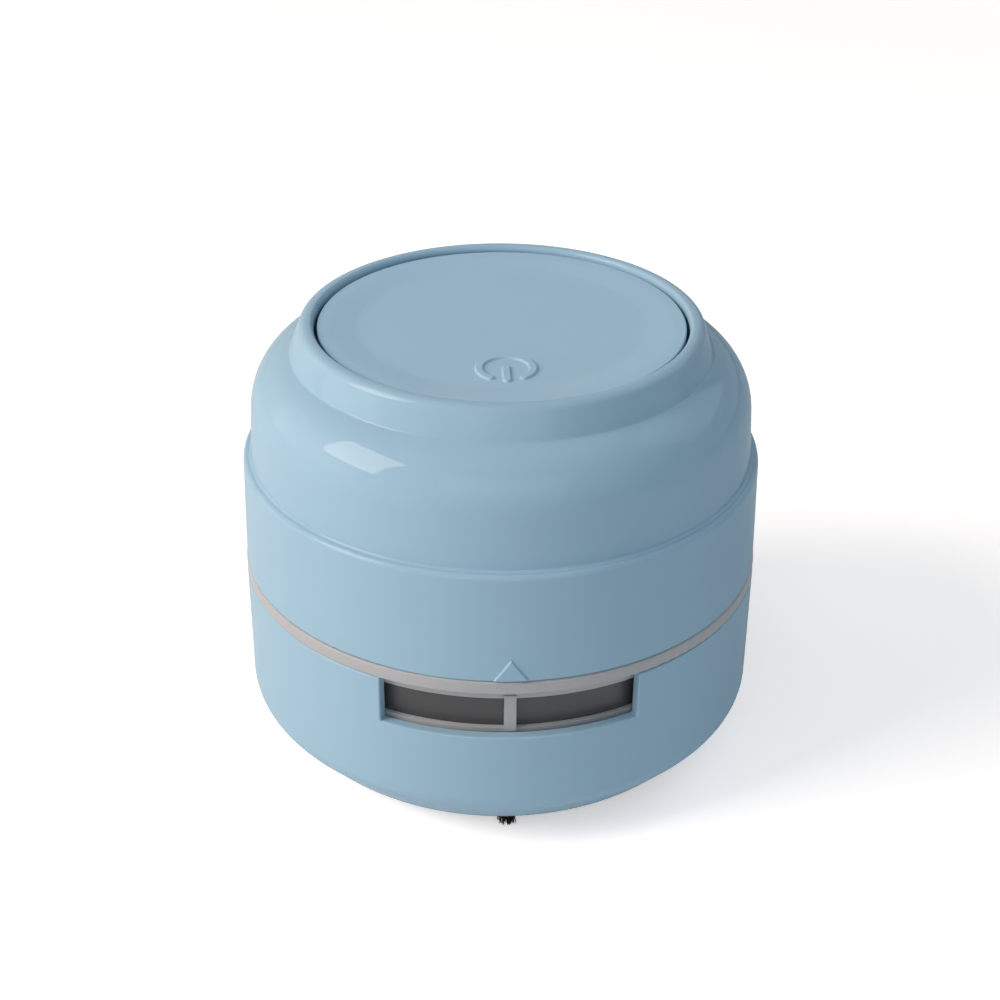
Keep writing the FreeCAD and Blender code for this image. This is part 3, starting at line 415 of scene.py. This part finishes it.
finishes = {
    "blueGloss": {"make": mouldedPlastic, "color": (0.293, 0.453, 0.556), "cloud": 0.012,
                  "roughness": (0.2, 0.3), "specular": 0.0, "lacquer": 0.3,
                  "lacquerRoughness": 0.05, "waveSize": 7, "waveDepth": 0.006,
                  "grainSize": 0.5, "grainDepth": 0.0006},
    "blueSatin": {"make": mouldedPlastic, "color": (0.321, 0.490, 0.600), "cloud": 0.012,
                  "roughness": (0.44, 0.54), "specular": 0.17, "waveSize": 6, "waveDepth": 0.004,
                  "grainSize": 0.25, "grainDepth": 0.004},
    "greyMould": {"make": mouldedPlastic, "color": (0.389, 0.394, 0.396), "cloud": 0.02,
                  "roughness": (0.44, 0.54), "specular": 0.25, "waveSize": 6, "waveDepth": 0.004,
                  "grainSize": 0.3, "grainDepth": 0.005},
    "paleMould": {"make": mouldedPlastic, "color": (0.58, 0.58, 0.565), "cloud": 0.02,
                  "roughness": (0.38, 0.5), "specular": 0.4, "waveSize": 8, "waveDepth": 0.006,
                  "grainSize": 0.35, "grainDepth": 0.006},
    "darkNylon": {"make": mouldedPlastic, "color": (0.033, 0.035, 0.038), "cloud": 0.08,
                  "roughness": (0.34, 0.46), "specular": 0.5, "waveSize": 5, "waveDepth": 0.005,
                  "grainSize": 0.3, "grainDepth": 0.006},
    "screenThread": {"make": mouldedPlastic, "color": (0.044, 0.044, 0.045), "cloud": 0.08,
                     "roughness": (0.3, 0.42), "specular": 0.6, "waveSize": 3, "waveDepth": 0.002,
                     "grainSize": 0.15, "grainDepth": 0.003},
    # filterCloth's gap colour is painted shade for the hollows of the weave
    "filterCloth": {"make": wovenCloth, "color": (0.66, 0.66, 0.63), "gap": (0.34, 0.34, 0.32),
                    "pitch": 0.5, "patch": 3, "grainDepth": 0.08, "roughness": (0.75, 0.9)},
    "blackRubber": {"make": mouldedPlastic, "color": (0.013, 0.013, 0.013), "cloud": 0.15,
                    "roughness": (0.55, 0.72), "specular": 0.35, "waveSize": 4, "waveDepth": 0.006,
                    "grainSize": 0.2, "grainDepth": 0.006},
    "bristleNylon": {"make": mouldedPlastic, "color": (0.006, 0.006, 0.006), "cloud": 0.2,
                     "roughness": (0.28, 0.4), "specular": 0.5, "waveSize": 2, "waveDepth": 0.001,
                     "grainSize": 0.1, "grainDepth": 0.001},
    "glidePad": {"make": mouldedPlastic, "color": (0.32, 0.33, 0.34), "cloud": 0.03,
                 "roughness": (0.28, 0.42), "specular": 0.4, "waveSize": 4, "waveDepth": 0.004,
                 "grainSize": 0.2, "grainDepth": 0.004},
    "blackPlastic": {"make": mouldedPlastic, "color": (0.012, 0.012, 0.013), "cloud": 0.1,
                     "roughness": (0.35, 0.5), "specular": 0.5, "waveSize": 4, "waveDepth": 0.004,
                     "grainSize": 0.2, "grainDepth": 0.004},
    "motorCan": {"make": platedMetal, "color": (0.58, 0.57, 0.55), "cloud": 0.08,
                 "roughness": (0.22, 0.38), "stretch": (1, 1, 0.06), "grainSize": 0.25,
                 "grainDepth": 0.004},
    "zincScrew": {"make": platedMetal, "color": (0.56, 0.56, 0.55), "cloud": 0.1,
                  "roughness": (0.2, 0.35), "stretch": (1, 1, 1), "grainSize": 0.4,
                  "grainDepth": 0.004},
    "springWire": {"make": platedMetal, "color": (0.60, 0.60, 0.61), "cloud": 0.08,
                   "roughness": (0.15, 0.3), "stretch": (1, 1, 0.3), "grainSize": 0.15,
                   "grainDepth": 0.002},
    "nickelPlate": {"make": platedMetal, "color": (0.64, 0.61, 0.55), "cloud": 0.06,
                    "roughness": (0.14, 0.28), "stretch": (0.2, 1, 1), "grainSize": 0.3,
                    "grainDepth": 0.002},
    "bronzeBush": {"make": platedMetal, "color": (0.62, 0.42, 0.22), "cloud": 0.12,
                   "roughness": (0.28, 0.45), "stretch": (1, 1, 1), "grainSize": 0.2,
                   "grainDepth": 0.004},
    "ferrite": {"make": mouldedPlastic, "color": (0.03, 0.03, 0.032), "cloud": 0.15,
                "roughness": (0.5, 0.7), "specular": 0.5, "waveSize": 2, "waveDepth": 0.006,
                "grainSize": 0.15, "grainDepth": 0.008},
    "coreSheets": {"make": laminatedCore, "color": (0.22, 0.22, 0.23), "gap": (0.03, 0.03, 0.03),
                   "pitch": 0.5, "joint": 0.18, "patch": 1.5, "metallic": 0.8, "roughness": (0.35, 0.5)},
    "copperBars": {"make": segmentedCopper, "color": (0.72, 0.38, 0.22), "gap": (0.02, 0.02, 0.02),
                   "bars": 3, "joint": 0.07, "patch": 0.8, "metallic": 0.9, "roughness": (0.2, 0.35)},
    "cellSleeve": {"make": wrappedCell, "color": (0.02, 0.07, 0.20), "gap": (0.60, 0.58, 0.54),
                   "bareEnd": 1.6, "stretch": (6, 1, 1), "patch": 5, "grainDepth": 0.01,
                   "roughness": (0.18, 0.3)},
    "boardMask": {"make": circuitBoard, "color": (0.012, 0.085, 0.035), "gap": (0.02, 0.12, 0.05),
                  "pitch": 2.4, "joint": 0.34, "patch": 4, "grainDepth": 0.03,
                  "roughness": (0.2, 0.35)},
}

materials = {name: look["make"](name, look) for name, look in finishes.items()}

slotFinish = {
    "blue_shell": "blueGloss", "blue_satin": "blueSatin", "grey_frame": "greyMould",
    "white_chassis": "paleMould", "fan_plastic": "darkNylon", "dark_mesh": "screenThread",
    "filter_cloth": "filterCloth", "seal_rubber": "blackRubber", "bristle": "bristleNylon",
    "glide": "glidePad", "black_plastic": "blackPlastic", "motor_steel": "motorCan",
    "screw_steel": "zincScrew", "spring_steel": "springWire", "core_steel": "coreSheets",
    "bronze": "bronzeBush", "nickel": "nickelPlate", "ferrite": "ferrite",
    "cell_wrap": "cellSleeve", "board": "boardMask",
}
nodeFinish = {"commutator": "copperBars"}      # where one node differs from its slot

slotOf = {part["node"]: part["material_slot"] for part in frame["record"]["subparts"]}
bodyOf = {node: body for body, nodes in frame["record"]["behaviour"]["bodies"].items()
          for node in nodes}
for node, slotName in slotOf.items():
    mesh = frame["nodes"][node].data
    mesh.materials.clear()
    mesh.materials.append(materials[nodeFinish.get(node, slotFinish[slotName])])
print("finishes on the CAD nodes")


# Points below are in mm, and a grid of points is numbered row by row.

def gridFaces(rows, columns, closedRows=False, closedColumns=True):
    # Quads between neighbours of a grid. They face outwards where the columns run
    # anticlockwise seen from above and the rows climb the outside.
    row, column = np.meshgrid(np.arange(rows if closedRows else rows - 1),
                              np.arange(columns if closedColumns else columns - 1), indexing="ij")
    rowAfter = (row + 1) % rows
    columnAfter = (column + 1) % columns
    quads = np.stack([row * columns + column, row * columns + columnAfter,
                      rowAfter * columns + columnAfter, rowAfter * columns + column], axis=-1)
    return quads.reshape(-1, 4)


def fanFaces(ring, pole):
    # Triangles from a ring of point numbers, taken in order, to one point.
    return np.stack([ring, np.roll(ring, -1), np.full_like(ring, pole)], axis=-1)


def addPiece(name, node, points, faces, sharp=40, replaced=True):
    # One mesh that stands for a CAD node, or is fitted on it, and moves with its body.
    # Edges past the angle sharp, in degrees, are shaded as corners.
    mesh = bpy.data.meshes.new(name)
    corners = [quad for group in faces for quad in np.asarray(group).tolist()]
    mesh.from_pydata((np.asarray(points) * mm).tolist(), [], corners)
    mesh.polygons.foreach_set("use_smooth", np.ones(len(mesh.polygons), bool))
    mesh.set_sharp_from_angle(angle=math.radians(sharp))
    mesh.materials.append(materials[slotFinish[slotOf[node]]])
    piece = bpy.data.objects.new(name, mesh)
    bpy.context.scene.collection.objects.link(piece)
    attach(piece, bodyOf[node])
    if replaced:
        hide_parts(node)
    return piece


def smoothStep(share):
    # 0 to 1 with a level start and end: 3 t^2 - 2 t^3.
    share = np.clip(share, 0, 1)
    return share * share * (3 - 2 * share)


def roundedProfile(corners, steps=5, support=0.04):
    # A line of (radius, height) points through corners of (radius, height, round).
    # Each round is an arc of steps parts between the points where it leaves its two
    # sides, with one more point a little before and after, to keep the shading of flats.
    places = np.array([corner[:2] for corner in corners], float)
    line = [places[:1]]
    for before, place, after, corner in zip(places, places[1:], places[2:], corners[1:]):
        back, on = before - place, after - place
        back, on = back / np.linalg.norm(back), on / np.linalg.norm(on)
        half = math.acos(np.clip(back @ on, -1, 1)) / 2
        reach = corner[2] / math.tan(half)
        middle = place + (back + on) / np.linalg.norm(back + on) * corner[2] / math.sin(half)
        first, last = place + back * reach, place + on * reach
        share = np.linspace(0, 1, steps + 1)[:, None]
        sweep = math.pi - 2 * half
        arc = (middle + (first - middle) * np.sin((1 - share) * sweep) / math.sin(sweep)
               + (last - middle) * np.sin(share * sweep) / math.sin(sweep))
        line += [(first + back * support)[None], arc, (last + on * support)[None]]
    return np.concatenate(line + [places[-1:]])


def lathe(profile, angles):
    # The profile carried round the axis: x = r cos a, y = r sin a, z = height.
    radius, height = profile[:, 0, None], profile[:, 1, None]
    return np.stack([radius * np.cos(angles), radius * np.sin(angles),
                     height + 0 * angles], axis=-1)


def turnedRound(out, side, height, angle):
    # Points given outwards, sideways and up, turned to an angle about the axis.
    return np.stack([out * np.cos(angle) - side * np.sin(angle),
                     out * np.sin(angle) + side * np.cos(angle), height], axis=-1)


def fullCircle(steps):
    return np.linspace(0, 2 * math.pi, steps, endpoint=False)


def addRing(name, profile, columns):
    # A closed outline carried round the axis, fitted on the dome cover.
    return addPiece(name, "dome_cover", lathe(profile, fullCircle(columns)).reshape(-1, 3),
                    [gridFaces(len(profile), columns, closedRows=True)], replaced=False)


plateLook = {
    "thickness": 1.75,
    "skirtWall": 1.2,
    "skirtDepth": 3.55,
    "edgeRound": 0.25,
    "smallRound": 0.2,
    "bossRadius": 3.0,
    "bossHeight": 1.2,
    "dishRadius": 27.4,         # outer edge of the dish's slope
    "dishSlope": 4.4,
    "dishDepth": 0.5,
    "dishRings": 12,
    "symbolOffset": 16.65,      # power symbol in front of the axis
    "symbolRadius": 4.85,
    "stroke": 1.5,
    "relief": 0.35,
    "flank": 0.3,               # width of the symbol's sloping sides
    "gapAngle": 38,             # half the opening of the ring
    "barStart": -0.25,          # in front of the ring's middle
    "barLength": 5.8,
    "patchMargin": 0.05,        # fine grid round the symbol
    "patchSteps": 160,
    "floorRings": 9,
    "hookCircle": 25.0,
    "hookAngles": (90, 210, 330),
    "hookWidth": 4.0,
    "hookThickness": 1.4,
    "noseReach": 1.2,
    "noseHeight": 1.3,
    "hookSeat": 0.5,            # hooks run into the plate
}


def strokeDistance(x, y, look):
    # From a point to the middle line of the open ring and its bar. The ring's line is
    # a circle, or the nearer of its two ends inside the opening.
    middle = look["symbolRadius"] - look["stroke"] / 2
    side, front = np.abs(x), -(y + look["symbolOffset"])
    gap = math.radians(look["gapAngle"])
    onRing = np.abs(np.hypot(side, front) - middle)
    toEnd = np.hypot(side - middle * math.sin(gap), front - middle * math.cos(gap))
    ring = np.where(np.arctan2(side, front) > gap, onRing, toEnd)
    barEnd = look["barStart"] + look["barLength"] - look["stroke"]
    bar = np.hypot(side, front - np.clip(front, look["barStart"], barEnd))
    return np.minimum(ring, bar)


def plateHeight(x, y, top, look):
    # The top, less the dish inside its straight slope, plus the symbol inside its flank.
    dish = np.clip((look["dishRadius"] - np.hypot(x, y)) / look["dishSlope"], 0, 1)
    raised = smoothStep((look["stroke"] / 2 - strokeDistance(x, y, look)) / look["flank"])
    return top - look["dishDepth"] * dish + look["relief"] * raised


def makePressPlate(look):
    low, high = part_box("press_plate")
    radius = high.x / mm
    top = high.z / mm
    under = top - look["thickness"]
    half = look["symbolRadius"] + look["patchMargin"]
    barTip = look["symbolOffset"] + look["barStart"] + look["barLength"] - look["stroke"] / 2
    patchFront = -barTip - look["patchMargin"]
    patchBack = -look["symbolOffset"] + half
    patchMiddle = np.array([0, (patchFront + patchBack) / 2])

    # Fine rectangle of points over the symbol.
    steps = look["patchSteps"]
    across, along = np.meshgrid(np.linspace(-half, half, steps + 1),
                                np.linspace(patchFront, patchBack, steps + 1))
    patch = np.stack([across, along, plateHeight(across, along, top, look)], axis=-1)
    number = np.arange((steps + 1) ** 2).reshape(steps + 1, steps + 1)
    border = np.concatenate([number[0, :-1], number[:-1, -1], number[-1, :0:-1], number[:0:-1, 0]])

    # Rays from its middle, through its border, to the circle at the foot of the dish.
    edge = patch.reshape(-1, 3)[border][:, :2]
    ray = edge - patchMiddle
    ray = ray / np.linalg.norm(ray, axis=1, keepdims=True)
    footCircle = look["dishRadius"] - look["dishSlope"]
    lead = ray @ patchMiddle
    reach = -lead + np.sqrt(lead ** 2 - patchMiddle @ patchMiddle + footCircle ** 2)
    foot = patchMiddle + ray * reach[:, None]
    share = np.linspace(0, 1, look["floorRings"] + 1)[1:, None, None]
    floor = edge + (foot - edge) * share
    angles = np.arctan2(foot[:, 1], foot[:, 0])

    # The dish's slope, then the edge, the skirt and the underside as one profile.
    slope = np.linspace(footCircle, look["dishRadius"], look["dishRings"] + 1)[1:, None]
    rings = np.stack([slope * np.cos(angles), slope * np.sin(angles)], axis=-1)
    upper = np.concatenate([floor, rings])
    upper = np.concatenate([upper, plateHeight(upper[..., 0], upper[..., 1], top, look)[..., None]],
                           axis=-1)
    small = look["smallRound"]
    bore = radius - look["skirtWall"]
    profile = roundedProfile([
        (look["dishRadius"], top, 0),
        (radius, top, look["edgeRound"]),
        (radius, top - look["skirtDepth"], small),
        (bore, top - look["skirtDepth"], small),
        (bore, under, small),
        (look["bossRadius"], under, small),
        (look["bossRadius"], under - look["bossHeight"], small),
        (look["bossRadius"] / 2, under - look["bossHeight"], 0)])[1:]
    lower = lathe(profile, angles)
    grid = np.concatenate([patch.reshape(-1, 3)[border][None], upper, lower])
    rows, columns = grid.shape[:2]

    # Every point once: the patch, the rings past its border, the pole under the boss.
    first = len(patch.reshape(-1, 3))
    pole = first + (rows - 1) * columns
    points = np.concatenate([patch.reshape(-1, 3), grid[1:].reshape(-1, 3),
                             [[0, 0, under - look["bossHeight"]]]])
    numbers = np.concatenate([border, first + np.arange((rows - 1) * columns)])
    outward = numbers[gridFaces(rows, columns)][:, ::-1]
    inner = gridFaces(steps + 1, steps + 1, closedColumns=False)
    last = numbers[-columns:]
    faces = [inner, outward, fanFaces(last[::-1], pole)]
    hooks, hookFaces = plateHooks(under, look, len(points), low.z / mm)
    return addPiece("pressPlate", "press_plate", np.concatenate([points, hooks]), faces + hookFaces)


def plateHooks(under, look, start, foot):
    # The outline of a leg with its nose, set across its width, turned to each angle.
    inner, outer = look["hookCircle"], look["hookCircle"] + look["hookThickness"]
    noseTop = foot + look["noseHeight"]
    seat = under + look["hookSeat"]
    shape = np.array([(inner, foot), (outer, foot), (outer + look["noseReach"], noseTop),
                      (outer, noseTop), (outer, seat), (inner, seat)])
    side = np.array([-1, 1])[:, None] * look["hookWidth"] / 2 + 0 * shape[:, 0]
    radial = shape[:, 0] + 0 * side
    height = shape[:, 1] + 0 * side
    points, faces = [], []
    count = len(shape)
    for angle in np.radians(look["hookAngles"]):
        points.append(turnedRound(radial, side, height, angle).reshape(-1, 3))
        faces += [gridFaces(2, count)[:, ::-1] + start, [list(range(start, start + count))],
                  [list(range(start + 2 * count - 1, start + count - 1, -1))]]
        start += 2 * count
    return np.concatenate(points), faces


rimLook = {
    "gap": 0.8,                 # from the plate to the wall of its well
    "crest": 0.4,               # from that wall out to the rim's crest
    "lip": 0.3,                 # from that wall in to the lip's edge
    "drop": 1.0,
    "wall": 0.5,                # height of the lip's edge
    "foot": 0.4,
    "arcSteps": 14,
    "columns": 288,
}


def makeRimLip(look):
    # A lip inside the rim. Its face is a quarter of an ellipse from the crest down:
    # r = crest + (crest to lip) cos t, z = top - drop + drop sin t, t from 90 to 180 degrees.
    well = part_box("press_plate")[1].x / mm + look["gap"]
    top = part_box("dome_cover")[1].z / mm
    crest, width = well + look["crest"], look["crest"] + look["lip"]
    turn = np.linspace(math.pi / 2, math.pi, look["arcSteps"] + 1)
    arc = np.stack([crest + width * np.cos(turn), top + look["drop"] * (np.sin(turn) - 1)], axis=-1)
    edge, low = well - look["lip"], top - look["drop"] - look["wall"]
    profile = np.concatenate([[(crest, low - look["foot"])], arc, [(edge, low)]])
    return addRing("rimLip", profile, look["columns"])


seamLook = {
    "rise": 0.45,               # up the dome's side
    "width": 0.6,               # out over the skirt's top
    "sink": 0.3,                # into both
    "arcSteps": 8,
    "columns": 288,
}


def makeSeamCove(look):
    # Where the dome stands on the skirt: a quarter of an ellipse that bends inwards,
    # r = foot + width (1 - cos t), z = top + rise (1 - sin t), t from 90 to 0 degrees.
    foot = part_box("dome_cover")[1].x / mm
    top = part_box("skirt_shell")[1].z / mm
    turn = np.linspace(math.pi / 2, 0, look["arcSteps"] + 1)
    arc = np.stack([foot + look["width"] * (1 - np.cos(turn)),
                    top + look["rise"] * (1 - np.sin(turn))], axis=-1)
    inner, under = foot - look["sink"], top - look["sink"]
    profile = np.concatenate([[(foot + look["width"], under)], arc,
                              [(inner, top + look["rise"]), (inner, under)]])
    return addRing("seamCove", profile, look["columns"])


tuftLook = {
    "count": 8,
    "circle": 33.4,
    "hairs": 170,
    "hairRadius": 0.085,
    "rootRadius": 1.3,
    "rootTop": 4.5,             # in its hole
    "free": 2.5,                # hairs bend below this height
    "lean": (0.95, -1.15),      # how far the tips stand outwards, in turn round the ring
    "spreadOut": 1.12,          # the tips stand further apart side by side
    "stray": 0.16,
    "tipLow": 0.02,             # heights between which the tips end
    "tipHigh": 0.45,
    "thinning": 0.25,           # share of a hair's radius lost at its tip
    "firstAngle": 270,
    "rings": 6,
    "sides": 3,
    "seed": 11,
}


def makeBristleTufts(look):
    # Hairs start spread over a disc (radius sqrt(u), angle 2 pi v), run straight down
    # their hole and bend outwards below it with the square of the way to the tip.
    random = np.random.default_rng(look["seed"])
    count = look["count"] * look["hairs"]
    radius = look["rootRadius"] * np.sqrt(random.random(count))
    angle = 2 * math.pi * random.random(count)
    rootOut, rootSide = radius * np.cos(angle), radius * np.sin(angle)
    lean = np.repeat(np.resize(look["lean"], look["count"]), look["hairs"])
    tipOut = rootOut + lean + look["stray"] * random.standard_normal(count)
    tipSide = rootSide * look["spreadOut"] + look["stray"] * random.standard_normal(count)
    tipHeight = look["tipLow"] + look["tipHigh"] * random.random(count) ** 2
    share = np.linspace(0, 1, look["rings"] - 1)
    bend = np.concatenate([[0], share ** 2])[:, None]
    height = np.concatenate([[0], share])[:, None] * (tipHeight - look["free"]) + look["free"]
    height[0] = look["rootTop"]
    out = look["circle"] + rootOut + bend * (tipOut - rootOut)
    side = rootSide + bend * (tipSide - rootSide)
    thin = look["hairRadius"] * (1 - look["thinning"] * bend)
    tuftAngle = math.radians(look["firstAngle"]) + 2 * math.pi * np.arange(look["count"]) / look["count"]
    turn = np.repeat(tuftAngle, look["hairs"])
    around = 2 * math.pi * np.arange(look["sides"]) / look["sides"]
    out = out[..., None] + thin[..., None] * np.cos(around)
    side = side[..., None] + thin[..., None] * np.sin(around)
    height = height[..., None] + 0 * out
    grid = turnedRound(out, side, height, turn[:, None])
    points = grid.transpose(1, 0, 2, 3).reshape(-1, 3)
    each = look["rings"] * look["sides"]
    starts = np.arange(count)[:, None, None] * each
    walls = (gridFaces(look["rings"], look["sides"])[:, ::-1] + starts).reshape(-1, 4)
    top = (np.arange(look["sides"]) + starts[:, :, 0]).reshape(-1, look["sides"])
    tip = (np.arange(each - 1, each - 1 - look["sides"], -1) + starts[:, :, 0]).reshape(-1, look["sides"])
    return addPiece("bristleTufts", "brush_tufts", points, [walls, top, tip], sharp=75)


springLook = {
    "circle": 18.0,
    "angles": (30, 150, 270),
    "coilRadius": 2.2,
    "wire": 0.5,
    "turns": 3.6,
    "closedShare": 0.13,        # of the wire, lying flat at each end
    "stepsPerTurn": 30,
    "sides": 10,
    "pressed": 1.5,             # travel of the plate
}


def makeReturnSprings(look):
    # A round wire along a helix whose height climbs between two closed end turns.
    low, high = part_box("return_springs")
    bottom, top = low.z / mm, high.z / mm
    thick = look["wire"] / 2
    steps = int(look["turns"] * look["stepsPerTurn"])
    along = np.linspace(0, 1, steps + 1)
    turn = 2 * math.pi * look["turns"] * along
    climb = np.clip((along - look["closedShare"]) / (1 - 2 * look["closedShare"]), 0, 1)
    centre = np.stack([look["coilRadius"] * np.cos(turn), look["coilRadius"] * np.sin(turn),
                       bottom + thick + (top - bottom - look["wire"]) * climb], axis=-1)
    outward = np.stack([np.cos(turn), np.sin(turn), 0 * turn], axis=-1)
    upward = np.array([0, 0, 1.0])
    around = 2 * math.pi * np.arange(look["sides"])[:, None] / look["sides"]
    grid = (centre[:, None] + thick * np.cos(around) * outward[:, None]
            + thick * np.sin(around) * upward)
    walls = gridFaces(steps + 1, look["sides"])[:, ::-1]
    points, faces = [], []
    each = grid.shape[0] * grid.shape[1]
    for number, angle in enumerate(np.radians(look["angles"])):
        place = np.array([look["circle"] * np.cos(angle), look["circle"] * np.sin(angle), 0])
        points.append(grid.reshape(-1, 3) + place)
        start = number * each
        faces += [walls + start, [list(range(start, start + look["sides"]))],
                  [list(range(start + each - 1, start + each - look["sides"] - 1, -1))]]
    spring = addPiece("returnSprings", "return_springs", np.concatenate(points), faces, sharp=60)
    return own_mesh(spring)


clothLook = {
    "spokes": 6,
    "firstSpoke": 30,           # degrees
    "hub": 4.0,
    "hemInner": 33.9,           # inside edge of the welded hem
    "hemSlope": 1.2,
    "clothThick": 0.3,
    "billow": 0.42,             # it stands up between the spokes
    "spokeFall": 7.0,           # over this width it comes down to the hem
    "hubRise": 12.0,
    "rings": 34,
    "columns": 180,
}


def makeFilterCloth(look):
    # A disc of cloth on the spokes. Its underside rises by
    # billow x sqrt |sin(3 (a - first spoke))|, fading out at the hub and at the hem.
    low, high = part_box("filter_mesh")
    radius, bottom, hem = high.x / mm, low.z / mm, (high.z - low.z) / mm
    angles = fullCircle(look["columns"])
    ring = np.linspace(0, radius, look["rings"] + 1)[1:, None]
    swing = np.sqrt(np.abs(np.sin(look["spokes"] / 2 * (angles - math.radians(look["firstSpoke"])))))
    fade = (smoothStep((ring - look["hub"]) / look["hubRise"])
            * smoothStep((look["hemInner"] - ring) / look["spokeFall"]))
    under = bottom + look["billow"] * swing * fade
    thick = (look["clothThick"] + (hem - look["clothThick"])
             * smoothStep((ring - look["hemInner"]) / look["hemSlope"] + 1))
    over = under + thick
    place = [ring * np.cos(angles), ring * np.sin(angles)]
    lower = np.stack([*place, under], axis=-1)
    upper = np.stack([*place, over], axis=-1)[::-1]
    grid = np.concatenate([lower, upper])
    rows, columns = grid.shape[:2]
    number = np.arange(rows * columns).reshape(rows, columns)
    points = np.concatenate([grid.reshape(-1, 3),
                             [[0, 0, bottom], [0, 0, bottom + look["clothThick"]]]])
    faces = [gridFaces(rows, columns), fanFaces(number[0][::-1], rows * columns),
             fanFaces(number[-1], rows * columns + 1)]
    cloth = addPiece("filterCloth", "filter_mesh", points, faces)
    return cloth


boardScrewLook = {"circle": 16.5, "angles": (90, 210, 330), "head": 1.9, "headHeight": 1.2,
                  "shank": 0.9, "pitch": 0.6, "headDown": False}
motorScrewLook = {"circle": 6.6, "angles": (0, 180), "head": 1.8, "headHeight": 1.0,
                  "shank": 0.95, "pitch": 0.45, "headDown": True}
housingScrewLook = {"circle": None, "angles": (30, 150, 270), "head": 1.9, "headHeight": 1.2,
                    "shank": 1.2, "pitch": 0.9, "headDown": True}
screwLook = {
    "headRound": 0.35,
    "lowerRound": 0.0875,       # under the head's edge
    "headColumns": 72,
    "headRings": 14,
    "crossReach": 0.62,         # share of the head's radius
    "crossHalf": 0.15,          # half width of an arm, share of the head's radius
    "crossDepth": 0.6,          # share of the head's height
    "crossSoft": 0.09,
    "crossFall": 0.6,           # share of the depth lost at an arm's end
    "threadDepth": 0.17,        # share of the shank's radius
    "stepsPerPitch": 6,
    "shankColumns": 24,
    "tip": 0.8,                 # length of the tapered end
    "tipDraw": 0.45,            # share of the radius lost there
}


def screwHead(radius, height, look):
    # Over the top, down the round edge and back under it. The top sinks inside
    # the two arms of a cross, each a strip about an axis, less deep towards its ends.
    angles = fullCircle(look["headColumns"])
    flat = radius - look["headRound"]
    top = np.stack([np.linspace(0, flat, look["headRings"] + 1)[1:],
                    np.zeros(look["headRings"])], axis=-1)
    edge = roundedProfile([(flat, 0, 0), (radius, 0, look["headRound"]),
                           (radius, -height, look["lowerRound"]), (radius / 3, -height, 0)])
    grid = lathe(np.concatenate([top, edge[1:]]), angles)
    wide = np.maximum(np.abs(grid[..., 0]), np.abs(grid[..., 1])) / radius
    narrow = np.minimum(np.abs(grid[..., 0]), np.abs(grid[..., 1])) / radius
    inside = (smoothStep((look["crossHalf"] - narrow) / look["crossSoft"] + 0.5)
              * smoothStep((look["crossReach"] - wide) / look["crossSoft"] + 0.5))
    depth = height * look["crossDepth"] * inside * (1 - look["crossFall"] * wide / look["crossReach"])
    grid[..., 2] -= np.where(grid[..., 2] > -look["headRound"] / 2, depth, 0)
    poles = [[0, 0, -height * look["crossDepth"]], [0, 0, -height]]
    return grid, poles


def screwShank(radius, top, bottom, pitch, look):
    # A cylinder whose radius falls off between ridges that climb with the angle:
    # depth x (1 - cos(2 pi z / pitch - a)) / 2, drawn in to the tip.
    angles = fullCircle(look["shankColumns"])
    rows = int((top - bottom) / pitch * look["stepsPerPitch"])
    height = np.linspace(top, bottom, rows + 1)[:, None]
    groove = (1 - np.cos(2 * math.pi * height / pitch - angles)) / 2
    taper = 1 - look["tipDraw"] * np.clip((bottom + look["tip"] - height) / look["tip"], 0, 1)
    around = radius * taper * (1 - look["threadDepth"] * groove)
    grid = np.stack([around * np.cos(angles), around * np.sin(angles), height + 0 * angles], axis=-1)
    return grid, [[0, 0, top], [0, 0, bottom]]


def closedTurning(grid, poles, start):
    # Rows from the upper pole to the lower one, closed to the two.
    rows, columns = grid.shape[:2]
    number = start + np.arange(rows * columns).reshape(rows, columns)
    points = np.concatenate([grid.reshape(-1, 3), poles])
    faces = [gridFaces(rows, columns)[:, ::-1] + start,
             fanFaces(number[0], start + rows * columns),
             fanFaces(number[-1][::-1], start + rows * columns + 1)]
    return points, faces


def makeScrews(name, node, own, look):
    low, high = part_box(node)
    bottom, top = low.z / mm, high.z / mm
    length = top - bottom
    # The highest screw reaches the box in y, or in x where they stand to the sides.
    reach = own["circle"] or (high.y / mm - own["head"]) / math.sin(math.radians(own["angles"][0]))
    # The shank starts inside its head, half way up.
    shapes = [screwHead(own["head"], own["headHeight"], look),
              screwShank(own["shank"], -own["headHeight"] / 2, -length, own["pitch"], look)]
    points, faces, start = [], [], 0
    for angle in np.radians(own["angles"]):
        for grid, poles in shapes:
            shell, shellFaces = closedTurning(grid, poles, start)
            if own["headDown"]:
                shell = shell * [1, 1, -1]
                shellFaces = [group[:, ::-1] for group in shellFaces]
            seat = bottom if own["headDown"] else top
            points.append(shell + [reach * math.cos(angle), reach * math.sin(angle), seat])
            faces += shellFaces
            start += len(shell)
    return addPiece(name, node, np.concatenate(points), faces)


makePressPlate(plateLook)
makeRimLip(rimLook)
makeSeamCove(seamLook)
print("press plate with its power symbol, lip round it, cove at the dome's foot")
makeBristleTufts(tuftLook)
print("bristle tufts")
makeReturnSprings(springLook)
makeFilterCloth(clothLook)
print("return springs and filter cloth")
makeScrews("boardScrews", "board_screws", boardScrewLook, screwLook)
makeScrews("motorScrews", "motor_screws", motorScrewLook, screwLook)
makeScrews("housingScrews", "housing_screws", housingScrewLook, screwLook)
print("screws")
